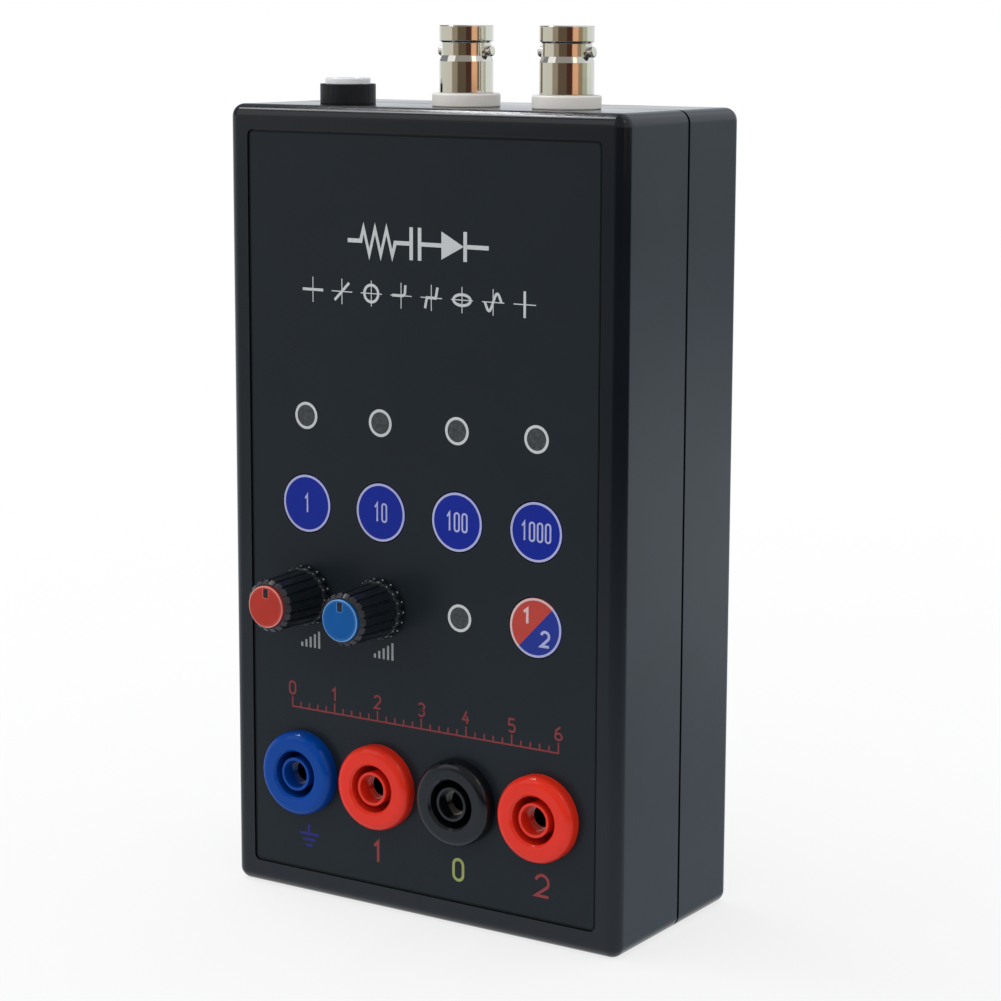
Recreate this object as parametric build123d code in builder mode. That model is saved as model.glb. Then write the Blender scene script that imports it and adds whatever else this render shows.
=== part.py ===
# Component tester: a hand-held curve tester in a two-part moulded case.
# Millimetres. +X is to the right seen from the front, +Y runs back through the case, +Z is up.
# The origin is the middle of the bottom face. Depths are counted back from the front face.
from build123d import *
import os

os.makedirs("parts", exist_ok=True)

# Case
case_width = 84.5
case_height = 147.0
case_depth = 40.5
front_shell_depth = 21.5  # front face to the parting plane
wall = 2.4
front_wall = 2.8
edge_radius = 2.3
parting_gap = 0.7  # shadow groove between the outer edges of the two shells
tongue_depth = 1.8
tongue_clearance = 0.1
inner_radius = 0.8

# Case screws and the bosses that they join
boss_inset = 6.6  # from the outside of the case to the boss's axis
boss_radius = 3.5
case_screw_radius = 1.45
case_screw_length = 18.0
case_screw_head_radius = 2.8
case_screw_head_height = 2.1
case_screw_bite = 9.0  # how far the screw reaches into the front shell
screw_hole_spare = 1.0  # pilot hole past the screw's tip
thread_clearance = 0.05
passage_clearance = 0.4
counterbore_clearance = 0.35
cross_slot_length = 3.6
cross_slot_width = 0.8
cross_slot_depth = 1.1

# Printed film in its recess
film_margin = 4.5
film_recess = 0.6
film_thickness = 0.35
film_gap = 0.25
film_corner_radius = 1.0

# Controls on the front, laid out in four columns
column_pitch = 16.6
led_row_height = 90.8
button_row_height = 74.5
lower_row_height = 57.5
left_knob_height = 57.35
right_knob_height = 56.9
channel_led_height = 57.2
channel_led_shift = 0.6  # channel lamp beside its column
button_radius = 5.35
button_clearance = 0.2
button_travel = 0.4
button_flange = 1.2
button_flange_thickness = 1.0
button_edge = 0.12
stem_radius = 1.6
led_radius = 1.5
led_rim = 0.4
led_rim_height = 1.0
led_length = 5.3
led_edge = 0.3
led_behind_window = 0.4
lead_width = 0.5
lead_pitch = 2.54
window_radius = 1.95
window_clearance = 0.04
lens_clearance = 0.25

# Main board and what stands on it
board_depth = 12.0  # front face of the board
board_thickness = 1.6
board_side_gap = 4.25  # to the outside of the case
board_socket_gap = 12.5  # socket row to the board's lower edge
board_top_gap = 19.0  # board's upper edge to the top of the case
board_screw_inset = 4.5
standoff_radius = 2.8
board_screw_radius = 1.1
board_screw_bite = 6.0
board_screw_head_radius = 2.2
board_screw_head_height = 1.6
switch_side = 6.0
switch_height = 3.5
plunger_radius = 1.7
plunger_clearance = 0.2
plunger_reach = 3.4  # plunger tip above the switch body
plunger_seat = 0.8  # plunger length inside the switch body
plunger_spare = 0.2

# Turned control: potentiometer, shaft and fluted knob
pot_width = 9.6
pot_height = 10.6
pot_body_depth = 6.6
bushing_radius = 3.4
bushing_length = 4.5
bushing_clearance = 0.2
shaft_radius = 3.0
shaft_clearance = 0.05
shaft_seat = 3.5  # shaft length inside the potentiometer body
shaft_end_clearance = 0.5
knob_gap = 0.5  # running gap over the film
knob_reach = 11.8  # front rim of the knob ahead of the case's front face
knob_base_radius = 5.2
knob_taper = 2.0
knob_flutes = 18
flute_radius = 0.55
flute_depth = 0.38
knob_collar_height = 1.3
knob_collar_radius = 5.5
knob_bore_clearance = 0.03
knob_web = 2.2  # solid front of the knob ahead of the shaft
knob_rim_radius = 4.1  # inner edge of the sloping rim
knob_rim_slope = 0.8
cap_radius = 3.85
cap_thickness = 1.3
cap_proud = 0.6
cap_seat_clearance = 0.03
cap_edge = 0.25
pointer_width = 1.1
pointer_length = 1.7
pointer_clearance = 0.05
pointer_inset = 0.5  # pointer's outer end inside the cap's edge

# Shrouded 4 mm test sockets
socket_pitch = 17.5
socket_row_height = 23.5
socket_head_radius = 7.9
socket_head_height = 3.0
socket_head_round = 1.5
socket_mouth_radius = 4.4
socket_mouth_chamfer = 0.45
socket_tube_radius = 3.15
socket_tube_setback = 0.5  # tube's rim behind the head's front
socket_shroud_depth = 9.0
socket_barrel_radius = 5.9
socket_barrel_clearance = 0.12
socket_rear_depth = 22.0
contact_bore_radius = 2.0
contact_wall = 0.57
contact_clearance = 0.03
contact_setback = 3.4  # contact's mouth behind the tube's rim
contact_bore_length = 16.2
contact_flange_radius = 3.6
contact_flange_thickness = 0.8
contact_tail_radius = 1.1
contact_tail_length = 5.0
socket_nut_width = 14.0
socket_nut_height = 3.0

# Connectors in the top wall
connector_setback = 7.9  # row of connectors ahead of the parting plane
bayonet_inset = 20.05  # right-hand jack's axis to the right side of the case
bayonet_pitch = 21.0
bayonet_radius = 4.82
bayonet_height = 14.3  # above the top face
bayonet_bore_radius = 4.05
bayonet_floor_height = 5.0
bayonet_neck_radius = 4.42
bayonet_neck_height = 9.8
bayonet_neck_half = 1.8
bayonet_neck_slope = 1.0  # below the neck
bayonet_neck_step = 0.3  # above it
bayonet_lug_radius = 0.95
bayonet_lug_reach = 5.6
bayonet_edge = 0.3
bayonet_thread_radius = 4.3
bayonet_thread_length = 10.0  # below the top face
insulator_radius = 2.5
insulator_height = 12.2
insulator_clearance = 0.03
pin_socket_radius = 1.05
pin_socket_bore = 0.5
pin_socket_bore_depth = 4.0
pin_socket_tail = 3.0
washer_radius = 6.1
washer_height = 2.4
washer_edge = 0.25
washer_shoulder_radius = 5.2
washer_clearance = 0.06
inner_washer_thickness = 1.2
tag_thickness = 0.5
tag_width = 2.4
tag_length = 10.0
bayonet_nut_width = 12.0
bayonet_nut_height = 2.4

# Power inlet
inlet_inset = 17.35  # inlet's axis to the left side of the case
inlet_ring_radius = 5.1
inlet_ring_height = 3.6
inlet_ring_edge = 0.35
inlet_ring_notches = 24
inlet_notch_depth = 0.25
inlet_barrel_radius = 3.95
inlet_barrel_height = 4.7
inlet_lip_edge = 0.35
inlet_bore_radius = 3.1
inlet_bore_depth = 8.5
inlet_flange_radius = 5.3
inlet_flange_thickness = 1.5
inlet_body_radius = 4.9
inlet_body_length = 12.5
inlet_pin_radius = 1.05
inlet_pin_height = 2.7
inlet_pin_edge = 0.4
inlet_tag_width = 1.8
inlet_tag_thickness = 0.5
inlet_tag_length = 4.0
inlet_tag_pitch = 5.0

# Components on the back of the board, in rows below its upper edge
relay_size = (15.2, 7.5, 10.5)
relay_edge = 0.4
relay_pitch = 17.5
relay_row_drop = 36.0
capacitor_radius = 4.0
capacitor_height = 11.5
capacitor_pitch = 11.0
capacitor_row_drop = 13.0
chip_size = (9.6, 6.4, 3.4)
chip_pitch = 18.0
chip_row_drop = 53.5
regulator_size = (10.0, 4.6, 15.0)
regulator_inset = 10.0  # from the board's right edge
regulator_rise = 22.0  # from the board's lower edge

# Derived places
film_face = film_recess - film_thickness
front_edge_depth = front_shell_depth - parting_gap / 2
rear_edge_depth = front_shell_depth + parting_gap / 2
connector_y = front_shell_depth - connector_setback - case_depth / 2
columns = [(i - 1.5) * column_pitch for i in range(4)]
right_bayonet_x = case_width / 2 - bayonet_inset
bayonet_places = [right_bayonet_x - bayonet_pitch, right_bayonet_x]
inlet_x = inlet_inset - case_width / 2
socket_places = [(i - 1.5) * socket_pitch for i in range(4)]
channel_led_place = (columns[2] + channel_led_shift, channel_led_height)
led_places = [(x, led_row_height) for x in columns] + [channel_led_place]
range_places = [(x, button_row_height) for x in columns]
channel_place = (columns[3], lower_row_height)
button_places = range_places + [channel_place]
knob_places = [(columns[0], left_knob_height), (columns[1], right_knob_height)]
boss_places = [
    (x, z)
    for x in (boss_inset - case_width / 2, case_width / 2 - boss_inset)
    for z in (boss_inset, case_height - boss_inset)
]
board_width = case_width - 2 * board_side_gap
board_bottom = socket_row_height + board_socket_gap
board_top = case_height - board_top_gap
board_screw_places = [
    (x, z)
    for x in (board_screw_inset - board_width / 2, board_width / 2 - board_screw_inset)
    for z in (board_bottom + board_screw_inset, board_top - board_screw_inset)
]
board_back = board_depth + board_thickness


def at_depth(depth):
    """A plane parallel to the front face, facing the user."""
    return Plane.XZ.offset(case_depth / 2 - depth)


def turning_plane(x, z):
    """Half-plane for pieces turned about a front-to-back axis: local (radius, depth)."""
    return Plane(origin=(x, -case_depth / 2, z), x_dir=(1, 0, 0), z_dir=(0, 0, 1))


def turning_axis(x, z):
    return Axis((x, -case_depth / 2, z), (0, 1, 0))


def upright_plane(x):
    """Half-plane for pieces turned about a connector's vertical axis: local (radius, height)."""
    return Plane(origin=(x, connector_y, case_height), x_dir=(1, 0, 0), z_dir=(0, -1, 0))


def upright_axis(x):
    return Axis((x, connector_y, case_height), (0, 0, 1))


def above_top(height):
    return Plane.XY.offset(case_height + height)


def turned(profiles):
    """One part from closed profiles, each revolved about its own axis."""
    with BuildPart() as piece:
        for plane, axis, points in profiles:
            with BuildSketch(plane):
                with BuildLine():
                    Polyline(*points, close=True)
                make_face()
            revolve(axis=axis)
    return piece


def save(piece, name):
    piece.part.label = name
    export_step(piece.part, f"parts/{name}.step")


# ---- Case ------------------------------------------------------------------------------

with BuildPart() as front_shell:
    with BuildSketch(at_depth(0)):
        with Locations((0, case_height / 2)):
            Rectangle(case_width, case_height)
    extrude(amount=-front_edge_depth)
    fillet(front_shell.edges().group_by(Axis.Y)[0] + front_shell.edges().filter_by(Axis.Y), edge_radius)
    with BuildSketch(at_depth(front_wall)):
        with Locations((0, case_height / 2)):
            RectangleRounded(case_width - 2 * wall, case_height - 2 * wall, inner_radius)
    extrude(amount=-front_edge_depth, mode=Mode.SUBTRACT)
    # rebate that takes the rear shell's tongue
    with BuildSketch(at_depth(front_edge_depth - tongue_depth)):
        with Locations((0, case_height / 2)):
            RectangleRounded(case_width - wall, case_height - wall, edge_radius - wall / 2 + inner_radius)
    extrude(amount=-tongue_depth, mode=Mode.SUBTRACT)
    # screw bosses and board standoffs
    with BuildSketch(at_depth(front_wall)):
        with Locations(*boss_places):
            Circle(boss_radius)
    extrude(amount=-(front_shell_depth - front_wall))
    with BuildSketch(at_depth(front_shell_depth)):
        with Locations(*boss_places):
            Circle(case_screw_radius + thread_clearance)
    extrude(amount=case_screw_bite + screw_hole_spare, mode=Mode.SUBTRACT)
    with BuildSketch(at_depth(front_wall)):
        with Locations(*board_screw_places):
            Circle(standoff_radius)
    extrude(amount=-(board_depth - front_wall))
    with BuildSketch(at_depth(board_depth)):
        with Locations(*board_screw_places):
            Circle(board_screw_radius + thread_clearance)
    extrude(amount=board_screw_bite + screw_hole_spare, mode=Mode.SUBTRACT)
    # recess for the printed film
    with BuildSketch(at_depth(0)):
        with Locations((0, case_height / 2)):
            RectangleRounded(
                case_width - 2 * film_margin,
                case_height - 2 * film_margin,
                film_corner_radius + film_gap,
            )
    extrude(amount=-film_recess, mode=Mode.SUBTRACT)
    # openings in the front
    with BuildSketch(at_depth(0)):
        with Locations(*led_places):
            Circle(led_radius + lens_clearance)
        with Locations(*button_places):
            Circle(button_radius + button_clearance)
        with Locations(*knob_places):
            Circle(bushing_radius + bushing_clearance)
        with Locations(*[(x, socket_row_height) for x in socket_places]):
            Circle(socket_barrel_radius + socket_barrel_clearance)
    extrude(amount=-front_wall, mode=Mode.SUBTRACT)
    # openings in the top
    with BuildSketch(above_top(0)):
        with Locations(*[(x, connector_y) for x in bayonet_places]):
            Circle(washer_shoulder_radius + washer_clearance)
        with Locations((inlet_x, connector_y)):
            Circle(inlet_barrel_radius + washer_clearance)
    extrude(amount=-wall, mode=Mode.SUBTRACT)
save(front_shell, "front_shell")

counterbore_depth = case_depth - (front_shell_depth + case_screw_length - case_screw_bite)

with BuildPart() as rear_shell:
    with BuildSketch(at_depth(rear_edge_depth)):
        with Locations((0, case_height / 2)):
            Rectangle(case_width, case_height)
    extrude(amount=-(case_depth - rear_edge_depth))
    fillet(rear_shell.edges().group_by(Axis.Y)[-1] + rear_shell.edges().filter_by(Axis.Y), edge_radius)
    # tongue that seats in the front shell's rebate
    with BuildSketch(at_depth(front_edge_depth - tongue_depth)):
        with Locations((0, case_height / 2)):
            RectangleRounded(
                case_width - wall - 2 * tongue_clearance,
                case_height - wall - 2 * tongue_clearance,
                edge_radius - wall / 2 + inner_radius,
            )
    extrude(amount=-(tongue_depth + parting_gap))
    with BuildSketch(at_depth(front_edge_depth - tongue_depth)):
        with Locations((0, case_height / 2)):
            RectangleRounded(case_width - 2 * wall, case_height - 2 * wall, inner_radius)
    extrude(amount=-(case_depth - wall - front_edge_depth + tongue_depth), mode=Mode.SUBTRACT)
    with BuildSketch(at_depth(front_shell_depth)):
        with Locations(*boss_places):
            Circle(boss_radius)
    extrude(amount=-(case_depth - wall - front_shell_depth))
    with BuildSketch(at_depth(front_shell_depth)):
        with Locations(*boss_places):
            Circle(case_screw_radius + passage_clearance)
    extrude(amount=-(case_depth - front_shell_depth), mode=Mode.SUBTRACT)
    with BuildSketch(at_depth(case_depth)):
        with Locations(*boss_places):
            Circle(case_screw_head_radius + counterbore_clearance)
    extrude(amount=counterbore_depth, mode=Mode.SUBTRACT)
save(rear_shell, "rear_shell")

screw_seat = case_depth - counterbore_depth
with BuildPart() as case_screws:
    with BuildSketch(at_depth(screw_seat)):
        with Locations(*boss_places):
            Circle(case_screw_radius)
    extrude(amount=case_screw_length)
    with BuildSketch(at_depth(screw_seat)):
        with Locations(*boss_places):
            Circle(case_screw_head_radius)
    extrude(amount=-case_screw_head_height)
    with BuildSketch(at_depth(screw_seat + case_screw_head_height)):
        with Locations(*boss_places):
            Rectangle(cross_slot_length, cross_slot_width)
            Rectangle(cross_slot_width, cross_slot_length)
    extrude(amount=cross_slot_depth, mode=Mode.SUBTRACT)
save(case_screws, "case_screws")

with BuildPart() as panel_film:
    with BuildSketch(at_depth(film_face)):
        with Locations((0, case_height / 2)):
            RectangleRounded(
                case_width - 2 * film_margin - 2 * film_gap,
                case_height - 2 * film_margin - 2 * film_gap,
                film_corner_radius,
            )
        with Locations(*led_places):
            Circle(window_radius, mode=Mode.SUBTRACT)
        with Locations(*button_places):
            Circle(button_radius + button_clearance, mode=Mode.SUBTRACT)
        with Locations(*knob_places):
            Circle(bushing_radius + bushing_clearance, mode=Mode.SUBTRACT)
        with Locations(*[(x, socket_row_height) for x in socket_places]):
            Circle(socket_barrel_radius + socket_barrel_clearance, mode=Mode.SUBTRACT)
    extrude(amount=-film_thickness)
save(panel_film, "panel_film")

# ---- Indicators and buttons ------------------------------------------------------------

with BuildPart() as indicator_windows:
    with BuildSketch(at_depth(film_face)):
        with Locations(*led_places):
            Circle(window_radius - window_clearance)
    extrude(amount=-film_thickness)
save(indicator_windows, "indicator_windows")

led_tip = film_recess + led_behind_window
led_foot = led_tip + led_length
with BuildPart() as indicator_leds:
    for x, z in led_places:
        with BuildSketch(turning_plane(x, z)):
            with BuildLine():
                Polyline(
                    (0, led_tip),
                    (led_radius - led_edge, led_tip),
                    (led_radius, led_tip + led_edge),
                    (led_radius, led_foot - led_rim_height),
                    (led_radius + led_rim, led_foot - led_rim_height),
                    (led_radius + led_rim, led_foot),
                    (0, led_foot),
                    close=True,
                )
            make_face()
        revolve(axis=turning_axis(x, z))
    with BuildSketch(at_depth(led_foot)):
        with Locations(*led_places):
            with GridLocations(lead_pitch / 2, 0, 2, 1):
                Rectangle(lead_width, lead_width)
    extrude(amount=-(board_depth - led_foot))
save(indicator_leds, "indicator_leds")

plunger_tip = board_depth - switch_height - plunger_reach
for name, (x, z) in zip(
    ["range_button_1", "range_button_2", "range_button_3", "range_button_4", "channel_button"],
    button_places,
):
    with BuildPart() as button:
        with BuildSketch(turning_plane(x, z)):
            with BuildLine():
                Polyline(
                    (0, film_face),
                    (button_radius - button_edge, film_face),
                    (button_radius, film_face + button_edge),
                    (button_radius, front_wall),
                    (button_radius + button_flange, front_wall),
                    (button_radius + button_flange, front_wall + button_flange_thickness),
                    (stem_radius, front_wall + button_flange_thickness),
                    (stem_radius, plunger_tip),
                    (0, plunger_tip),
                    close=True,
                )
            make_face()
        revolve(axis=turning_axis(x, z))
    save(button, name)

    with BuildPart() as plunger:
        with BuildSketch(at_depth(plunger_tip)):
            with Locations((x, z)):
                Circle(plunger_radius)
        extrude(amount=-(plunger_reach + plunger_seat))
    save(plunger, name.replace("button", "plunger"))

with BuildPart() as key_switches:
    with BuildSketch(at_depth(board_depth)):
        with Locations(*button_places):
            Rectangle(switch_side, switch_side)
    extrude(amount=switch_height)
    with BuildSketch(at_depth(board_depth - switch_height)):
        with Locations(*button_places):
            Circle(plunger_radius + plunger_clearance)
    extrude(amount=-(plunger_seat + button_travel + plunger_spare), mode=Mode.SUBTRACT)
save(key_switches, "key_switches")

# ---- Main board --------------------------------------------------------------------------

with BuildPart() as main_board:
    with BuildSketch(at_depth(board_depth)):
        with Locations((0, (board_bottom + board_top) / 2)):
            Rectangle(board_width, board_top - board_bottom)
        with Locations(*board_screw_places):
            Circle(board_screw_radius + passage_clearance, mode=Mode.SUBTRACT)
    extrude(amount=-board_thickness)
save(main_board, "main_board")

with BuildPart() as board_screws:
    with BuildSketch(at_depth(board_back)):
        with Locations(*board_screw_places):
            Circle(board_screw_radius)
    extrude(amount=board_screw_bite + board_thickness)
    with BuildSketch(at_depth(board_back)):
        with Locations(*board_screw_places):
            Circle(board_screw_head_radius)
    extrude(amount=-board_screw_head_height)
save(board_screws, "board_screws")

with BuildPart() as range_relays:
    with BuildSketch(at_depth(board_back)):
        with Locations((0, board_top - relay_row_drop)):
            with GridLocations(relay_pitch, 0, 4, 1):
                Rectangle(relay_size[0], relay_size[1])
    extrude(amount=-relay_size[2])
    fillet(range_relays.faces().sort_by(Axis.Y)[-4:].edges(), relay_edge)
save(range_relays, "range_relays")

with BuildPart() as filter_capacitors:
    with BuildSketch(at_depth(board_back)):
        with Locations((0, board_top - capacitor_row_drop)):
            with GridLocations(capacitor_pitch, 0, 4, 1):
                Circle(capacitor_radius)
    extrude(amount=-capacitor_height)
save(filter_capacitors, "filter_capacitors")

with BuildPart() as amplifier_chips:
    with BuildSketch(at_depth(board_back)):
        with Locations((0, board_top - chip_row_drop)):
            with GridLocations(chip_pitch, 0, 3, 1):
                Rectangle(chip_size[0], chip_size[1])
    extrude(amount=-chip_size[2])
save(amplifier_chips, "amplifier_chips")

with BuildPart() as voltage_regulator:
    with BuildSketch(at_depth(board_back)):
        with Locations((board_width / 2 - regulator_inset, board_bottom + regulator_rise)):
            Rectangle(regulator_size[0], regulator_size[1])
    extrude(amount=-regulator_size[2])
save(voltage_regulator, "voltage_regulator")

# ---- Turned controls ---------------------------------------------------------------------

pot_front = board_depth - pot_body_depth
bushing_front = pot_front - bushing_length
shaft_rear = pot_front + shaft_seat
knob_rear = film_face - knob_gap
knob_front = -knob_reach
cap_floor = knob_front - cap_proud + cap_thickness
shaft_front = knob_front + knob_web
pointer_middle = cap_radius - pointer_inset - pointer_length / 2
for side, (x, z) in zip(["left", "right"], knob_places):
    with BuildPart() as pot:
        with BuildSketch(at_depth(board_depth)):
            with Locations((x, z)):
                Rectangle(pot_width, pot_height)
        extrude(amount=pot_body_depth)
        with BuildSketch(at_depth(pot_front)):
            with Locations((x, z)):
                Circle(bushing_radius)
        extrude(amount=bushing_length)
        with BuildSketch(at_depth(bushing_front)):
            with Locations((x, z)):
                Circle(shaft_radius + shaft_clearance)
        extrude(amount=-(bushing_length + shaft_seat + shaft_end_clearance), mode=Mode.SUBTRACT)
    save(pot, f"{side}_potentiometer")

    with BuildPart() as shaft:
        with BuildSketch(at_depth(shaft_rear)):
            with Locations((x, z)):
                Circle(shaft_radius)
        extrude(amount=shaft_rear - shaft_front)
    save(shaft, f"{side}_shaft")

    with BuildPart() as knob:
        with BuildSketch(at_depth(knob_rear)):
            with Locations((x, z)):
                Circle(knob_base_radius)
                with PolarLocations(knob_base_radius + flute_radius - flute_depth, knob_flutes):
                    Circle(flute_radius, mode=Mode.SUBTRACT)
        extrude(amount=knob_rear - knob_front, taper=knob_taper)
        with BuildSketch(at_depth(knob_rear)):
            with Locations((x, z)):
                Circle(knob_collar_radius)
        extrude(amount=knob_collar_height)
        with BuildSketch(at_depth(knob_front)):
            with Locations((x, z)):
                Circle(cap_radius + cap_seat_clearance)
                with Locations((0, pointer_middle)):
                    Rectangle(pointer_width, pointer_length, mode=Mode.SUBTRACT)
        extrude(amount=-(cap_floor - knob_front), mode=Mode.SUBTRACT)
        # the rim slopes back round the cap
        with BuildSketch(turning_plane(x, z)):
            with BuildLine():
                Polyline(
                    (knob_rim_radius, knob_front),
                    (knob_base_radius, knob_front),
                    (knob_base_radius, knob_front + knob_rim_slope),
                    close=True,
                )
            make_face()
        revolve(axis=turning_axis(x, z), mode=Mode.SUBTRACT)
        with BuildSketch(at_depth(knob_rear)):
            with Locations((x, z)):
                Circle(shaft_radius + knob_bore_clearance)
        extrude(amount=knob_rear - shaft_front, mode=Mode.SUBTRACT)
    save(knob, f"{side}_knob")

    with BuildPart() as cap:
        with BuildSketch(at_depth(cap_floor)):
            with Locations((x, z)):
                Circle(cap_radius)
        extrude(amount=cap_thickness)
        chamfer(cap.edges().group_by(Axis.Y)[0], cap_edge)
        with BuildSketch(at_depth(cap_floor)):
            with Locations((x, z + pointer_middle)):
                Rectangle(
                    pointer_width + 2 * pointer_clearance,
                    pointer_length + 2 * pointer_clearance,
                )
        extrude(amount=cap_thickness, mode=Mode.SUBTRACT)
    save(cap, f"{side}_knob_cap")

# ---- Test sockets ------------------------------------------------------------------------

head_front = film_face - socket_head_height
tube_front = head_front + socket_tube_setback
contact_front = tube_front + contact_setback
contact_outer = contact_bore_radius + contact_wall
for name, x in zip(["blue", "left_red", "black", "right_red"], socket_places):
    with BuildPart() as socket:
        with BuildSketch(turning_plane(x, socket_row_height)):
            with BuildLine():
                Polyline(
                    (socket_barrel_radius, socket_rear_depth),
                    (socket_barrel_radius, film_face),
                    (socket_head_radius, film_face),
                    (socket_head_radius, head_front + socket_head_round),
                )
                CenterArc(
                    (socket_head_radius - socket_head_round, head_front + socket_head_round),
                    socket_head_round,
                    -90,
                    90,
                )
                Polyline(
                    (socket_head_radius - socket_head_round, head_front),
                    (socket_mouth_radius + socket_mouth_chamfer, head_front),
                    (socket_mouth_radius, head_front + socket_mouth_chamfer),
                    (socket_mouth_radius, socket_shroud_depth),
                    (socket_tube_radius, socket_shroud_depth),
                    (socket_tube_radius, tube_front),
                    (contact_outer + contact_clearance, tube_front),
                    (contact_outer + contact_clearance, socket_rear_depth),
                    (socket_barrel_radius, socket_rear_depth),
                )
            make_face()
        revolve(axis=turning_axis(x, socket_row_height))
    save(socket, f"{name}_socket")

contact_tail_end = socket_rear_depth + contact_flange_thickness + contact_tail_length
socket_contacts = turned(
    [
        (
            turning_plane(x, socket_row_height),
            turning_axis(x, socket_row_height),
            [
                (contact_bore_radius, contact_front),
                (contact_outer, contact_front),
                (contact_outer, socket_rear_depth),
                (contact_flange_radius, socket_rear_depth),
                (contact_flange_radius, socket_rear_depth + contact_flange_thickness),
                (contact_tail_radius, socket_rear_depth + contact_flange_thickness),
                (contact_tail_radius, contact_tail_end),
                (0, contact_tail_end),
                (0, contact_front + contact_bore_length),
                (contact_bore_radius, contact_front + contact_bore_length),
            ],
        )
        for x in socket_places
    ]
)
save(socket_contacts, "socket_contacts")

with BuildPart() as socket_nuts:
    with BuildSketch(at_depth(front_wall)):
        with Locations(*[(x, socket_row_height) for x in socket_places]):
            RegularPolygon(socket_nut_width / 2, 6, major_radius=False)
            Circle(socket_barrel_radius + thread_clearance, mode=Mode.SUBTRACT)
    extrude(amount=-socket_nut_height)
save(socket_nuts, "socket_nuts")

# ---- Bayonet connectors ------------------------------------------------------------------

neck_low = bayonet_neck_height - bayonet_neck_half
neck_high = bayonet_neck_height + bayonet_neck_half
for name, x in zip(["left", "right"], bayonet_places):
    with BuildPart() as bayonet:
        with BuildSketch(upright_plane(x)):
            with BuildLine():
                Polyline(
                    (0, -bayonet_thread_length),
                    (bayonet_thread_radius, -bayonet_thread_length),
                    (bayonet_thread_radius, washer_height),
                    (bayonet_radius, washer_height),
                    (bayonet_radius, neck_low),
                    (bayonet_neck_radius, neck_low + bayonet_neck_slope),
                    (bayonet_neck_radius, neck_high - bayonet_neck_step),
                    (bayonet_radius, neck_high),
                    (bayonet_radius, bayonet_height - bayonet_edge),
                    (bayonet_radius - bayonet_edge, bayonet_height),
                    (0, bayonet_height),
                    close=True,
                )
            make_face()
        revolve(axis=upright_axis(x))
        # bayonet lugs on both sides
        with BuildSketch(Plane(origin=(x, connector_y, case_height + bayonet_neck_height), z_dir=(1, 0, 0))):
            Circle(bayonet_lug_radius)
        extrude(amount=bayonet_lug_reach, both=True)
        with BuildSketch(above_top(bayonet_height)):
            with Locations((x, connector_y)):
                Circle(bayonet_bore_radius)
        extrude(amount=-(bayonet_height - bayonet_floor_height), mode=Mode.SUBTRACT)
        with BuildSketch(above_top(bayonet_floor_height)):
            with Locations((x, connector_y)):
                Circle(insulator_radius + insulator_clearance)
        extrude(amount=-(bayonet_floor_height + bayonet_thread_length), mode=Mode.SUBTRACT)
    save(bayonet, f"{name}_bayonet_jack")

bayonet_insulators = turned(
    [
        (
            upright_plane(x),
            upright_axis(x),
            [
                (pin_socket_radius + insulator_clearance, -bayonet_thread_length),
                (insulator_radius, -bayonet_thread_length),
                (insulator_radius, insulator_height),
                (pin_socket_radius + insulator_clearance, insulator_height),
            ],
        )
        for x in bayonet_places
    ]
)
save(bayonet_insulators, "bayonet_insulators")

bayonet_contacts = turned(
    [
        (
            upright_plane(x),
            upright_axis(x),
            [
                (0, -bayonet_thread_length - pin_socket_tail),
                (pin_socket_radius, -bayonet_thread_length - pin_socket_tail),
                (pin_socket_radius, insulator_height),
                (pin_socket_bore, insulator_height),
                (pin_socket_bore, insulator_height - pin_socket_bore_depth),
                (0, insulator_height - pin_socket_bore_depth),
            ],
        )
        for x in bayonet_places
    ]
)
save(bayonet_contacts, "bayonet_contacts")

bayonet_washers = turned(
    [
        (
            upright_plane(x),
            upright_axis(x),
            [
                (bayonet_thread_radius + washer_clearance, -wall),
                (washer_shoulder_radius, -wall),
                (washer_shoulder_radius, 0),
                (washer_radius, 0),
                (washer_radius, washer_height - washer_edge),
                (washer_radius - washer_edge, washer_height),
                (bayonet_thread_radius + washer_clearance, washer_height),
            ],
        )
        for x in bayonet_places
    ]
)
save(bayonet_washers, "bayonet_washers")

inner_washers = turned(
    [
        (
            upright_plane(x),
            upright_axis(x),
            [
                (bayonet_thread_radius + washer_clearance, -wall - inner_washer_thickness),
                (washer_radius, -wall - inner_washer_thickness),
                (washer_radius, -wall),
                (bayonet_thread_radius + washer_clearance, -wall),
            ],
        )
        for x in bayonet_places
    ]
)
save(inner_washers, "inner_washers")

tag_top = -wall - inner_washer_thickness
with BuildPart() as ground_tags:
    with BuildSketch(above_top(tag_top)):
        with Locations(*[(x, connector_y) for x in bayonet_places]):
            Circle(washer_radius)
            with Locations((0, tag_length / 2)):
                Rectangle(tag_width, tag_length)
            Circle(bayonet_thread_radius + washer_clearance, mode=Mode.SUBTRACT)
    extrude(amount=-tag_thickness)
save(ground_tags, "ground_tags")

with BuildPart() as bayonet_nuts:
    with BuildSketch(above_top(tag_top - tag_thickness)):
        with Locations(*[(x, connector_y) for x in bayonet_places]):
            RegularPolygon(bayonet_nut_width / 2, 6, major_radius=False)
            Circle(bayonet_thread_radius + washer_clearance, mode=Mode.SUBTRACT)
    extrude(amount=-bayonet_nut_height)
save(bayonet_nuts, "bayonet_nuts")

# ---- Power inlet -------------------------------------------------------------------------

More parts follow.
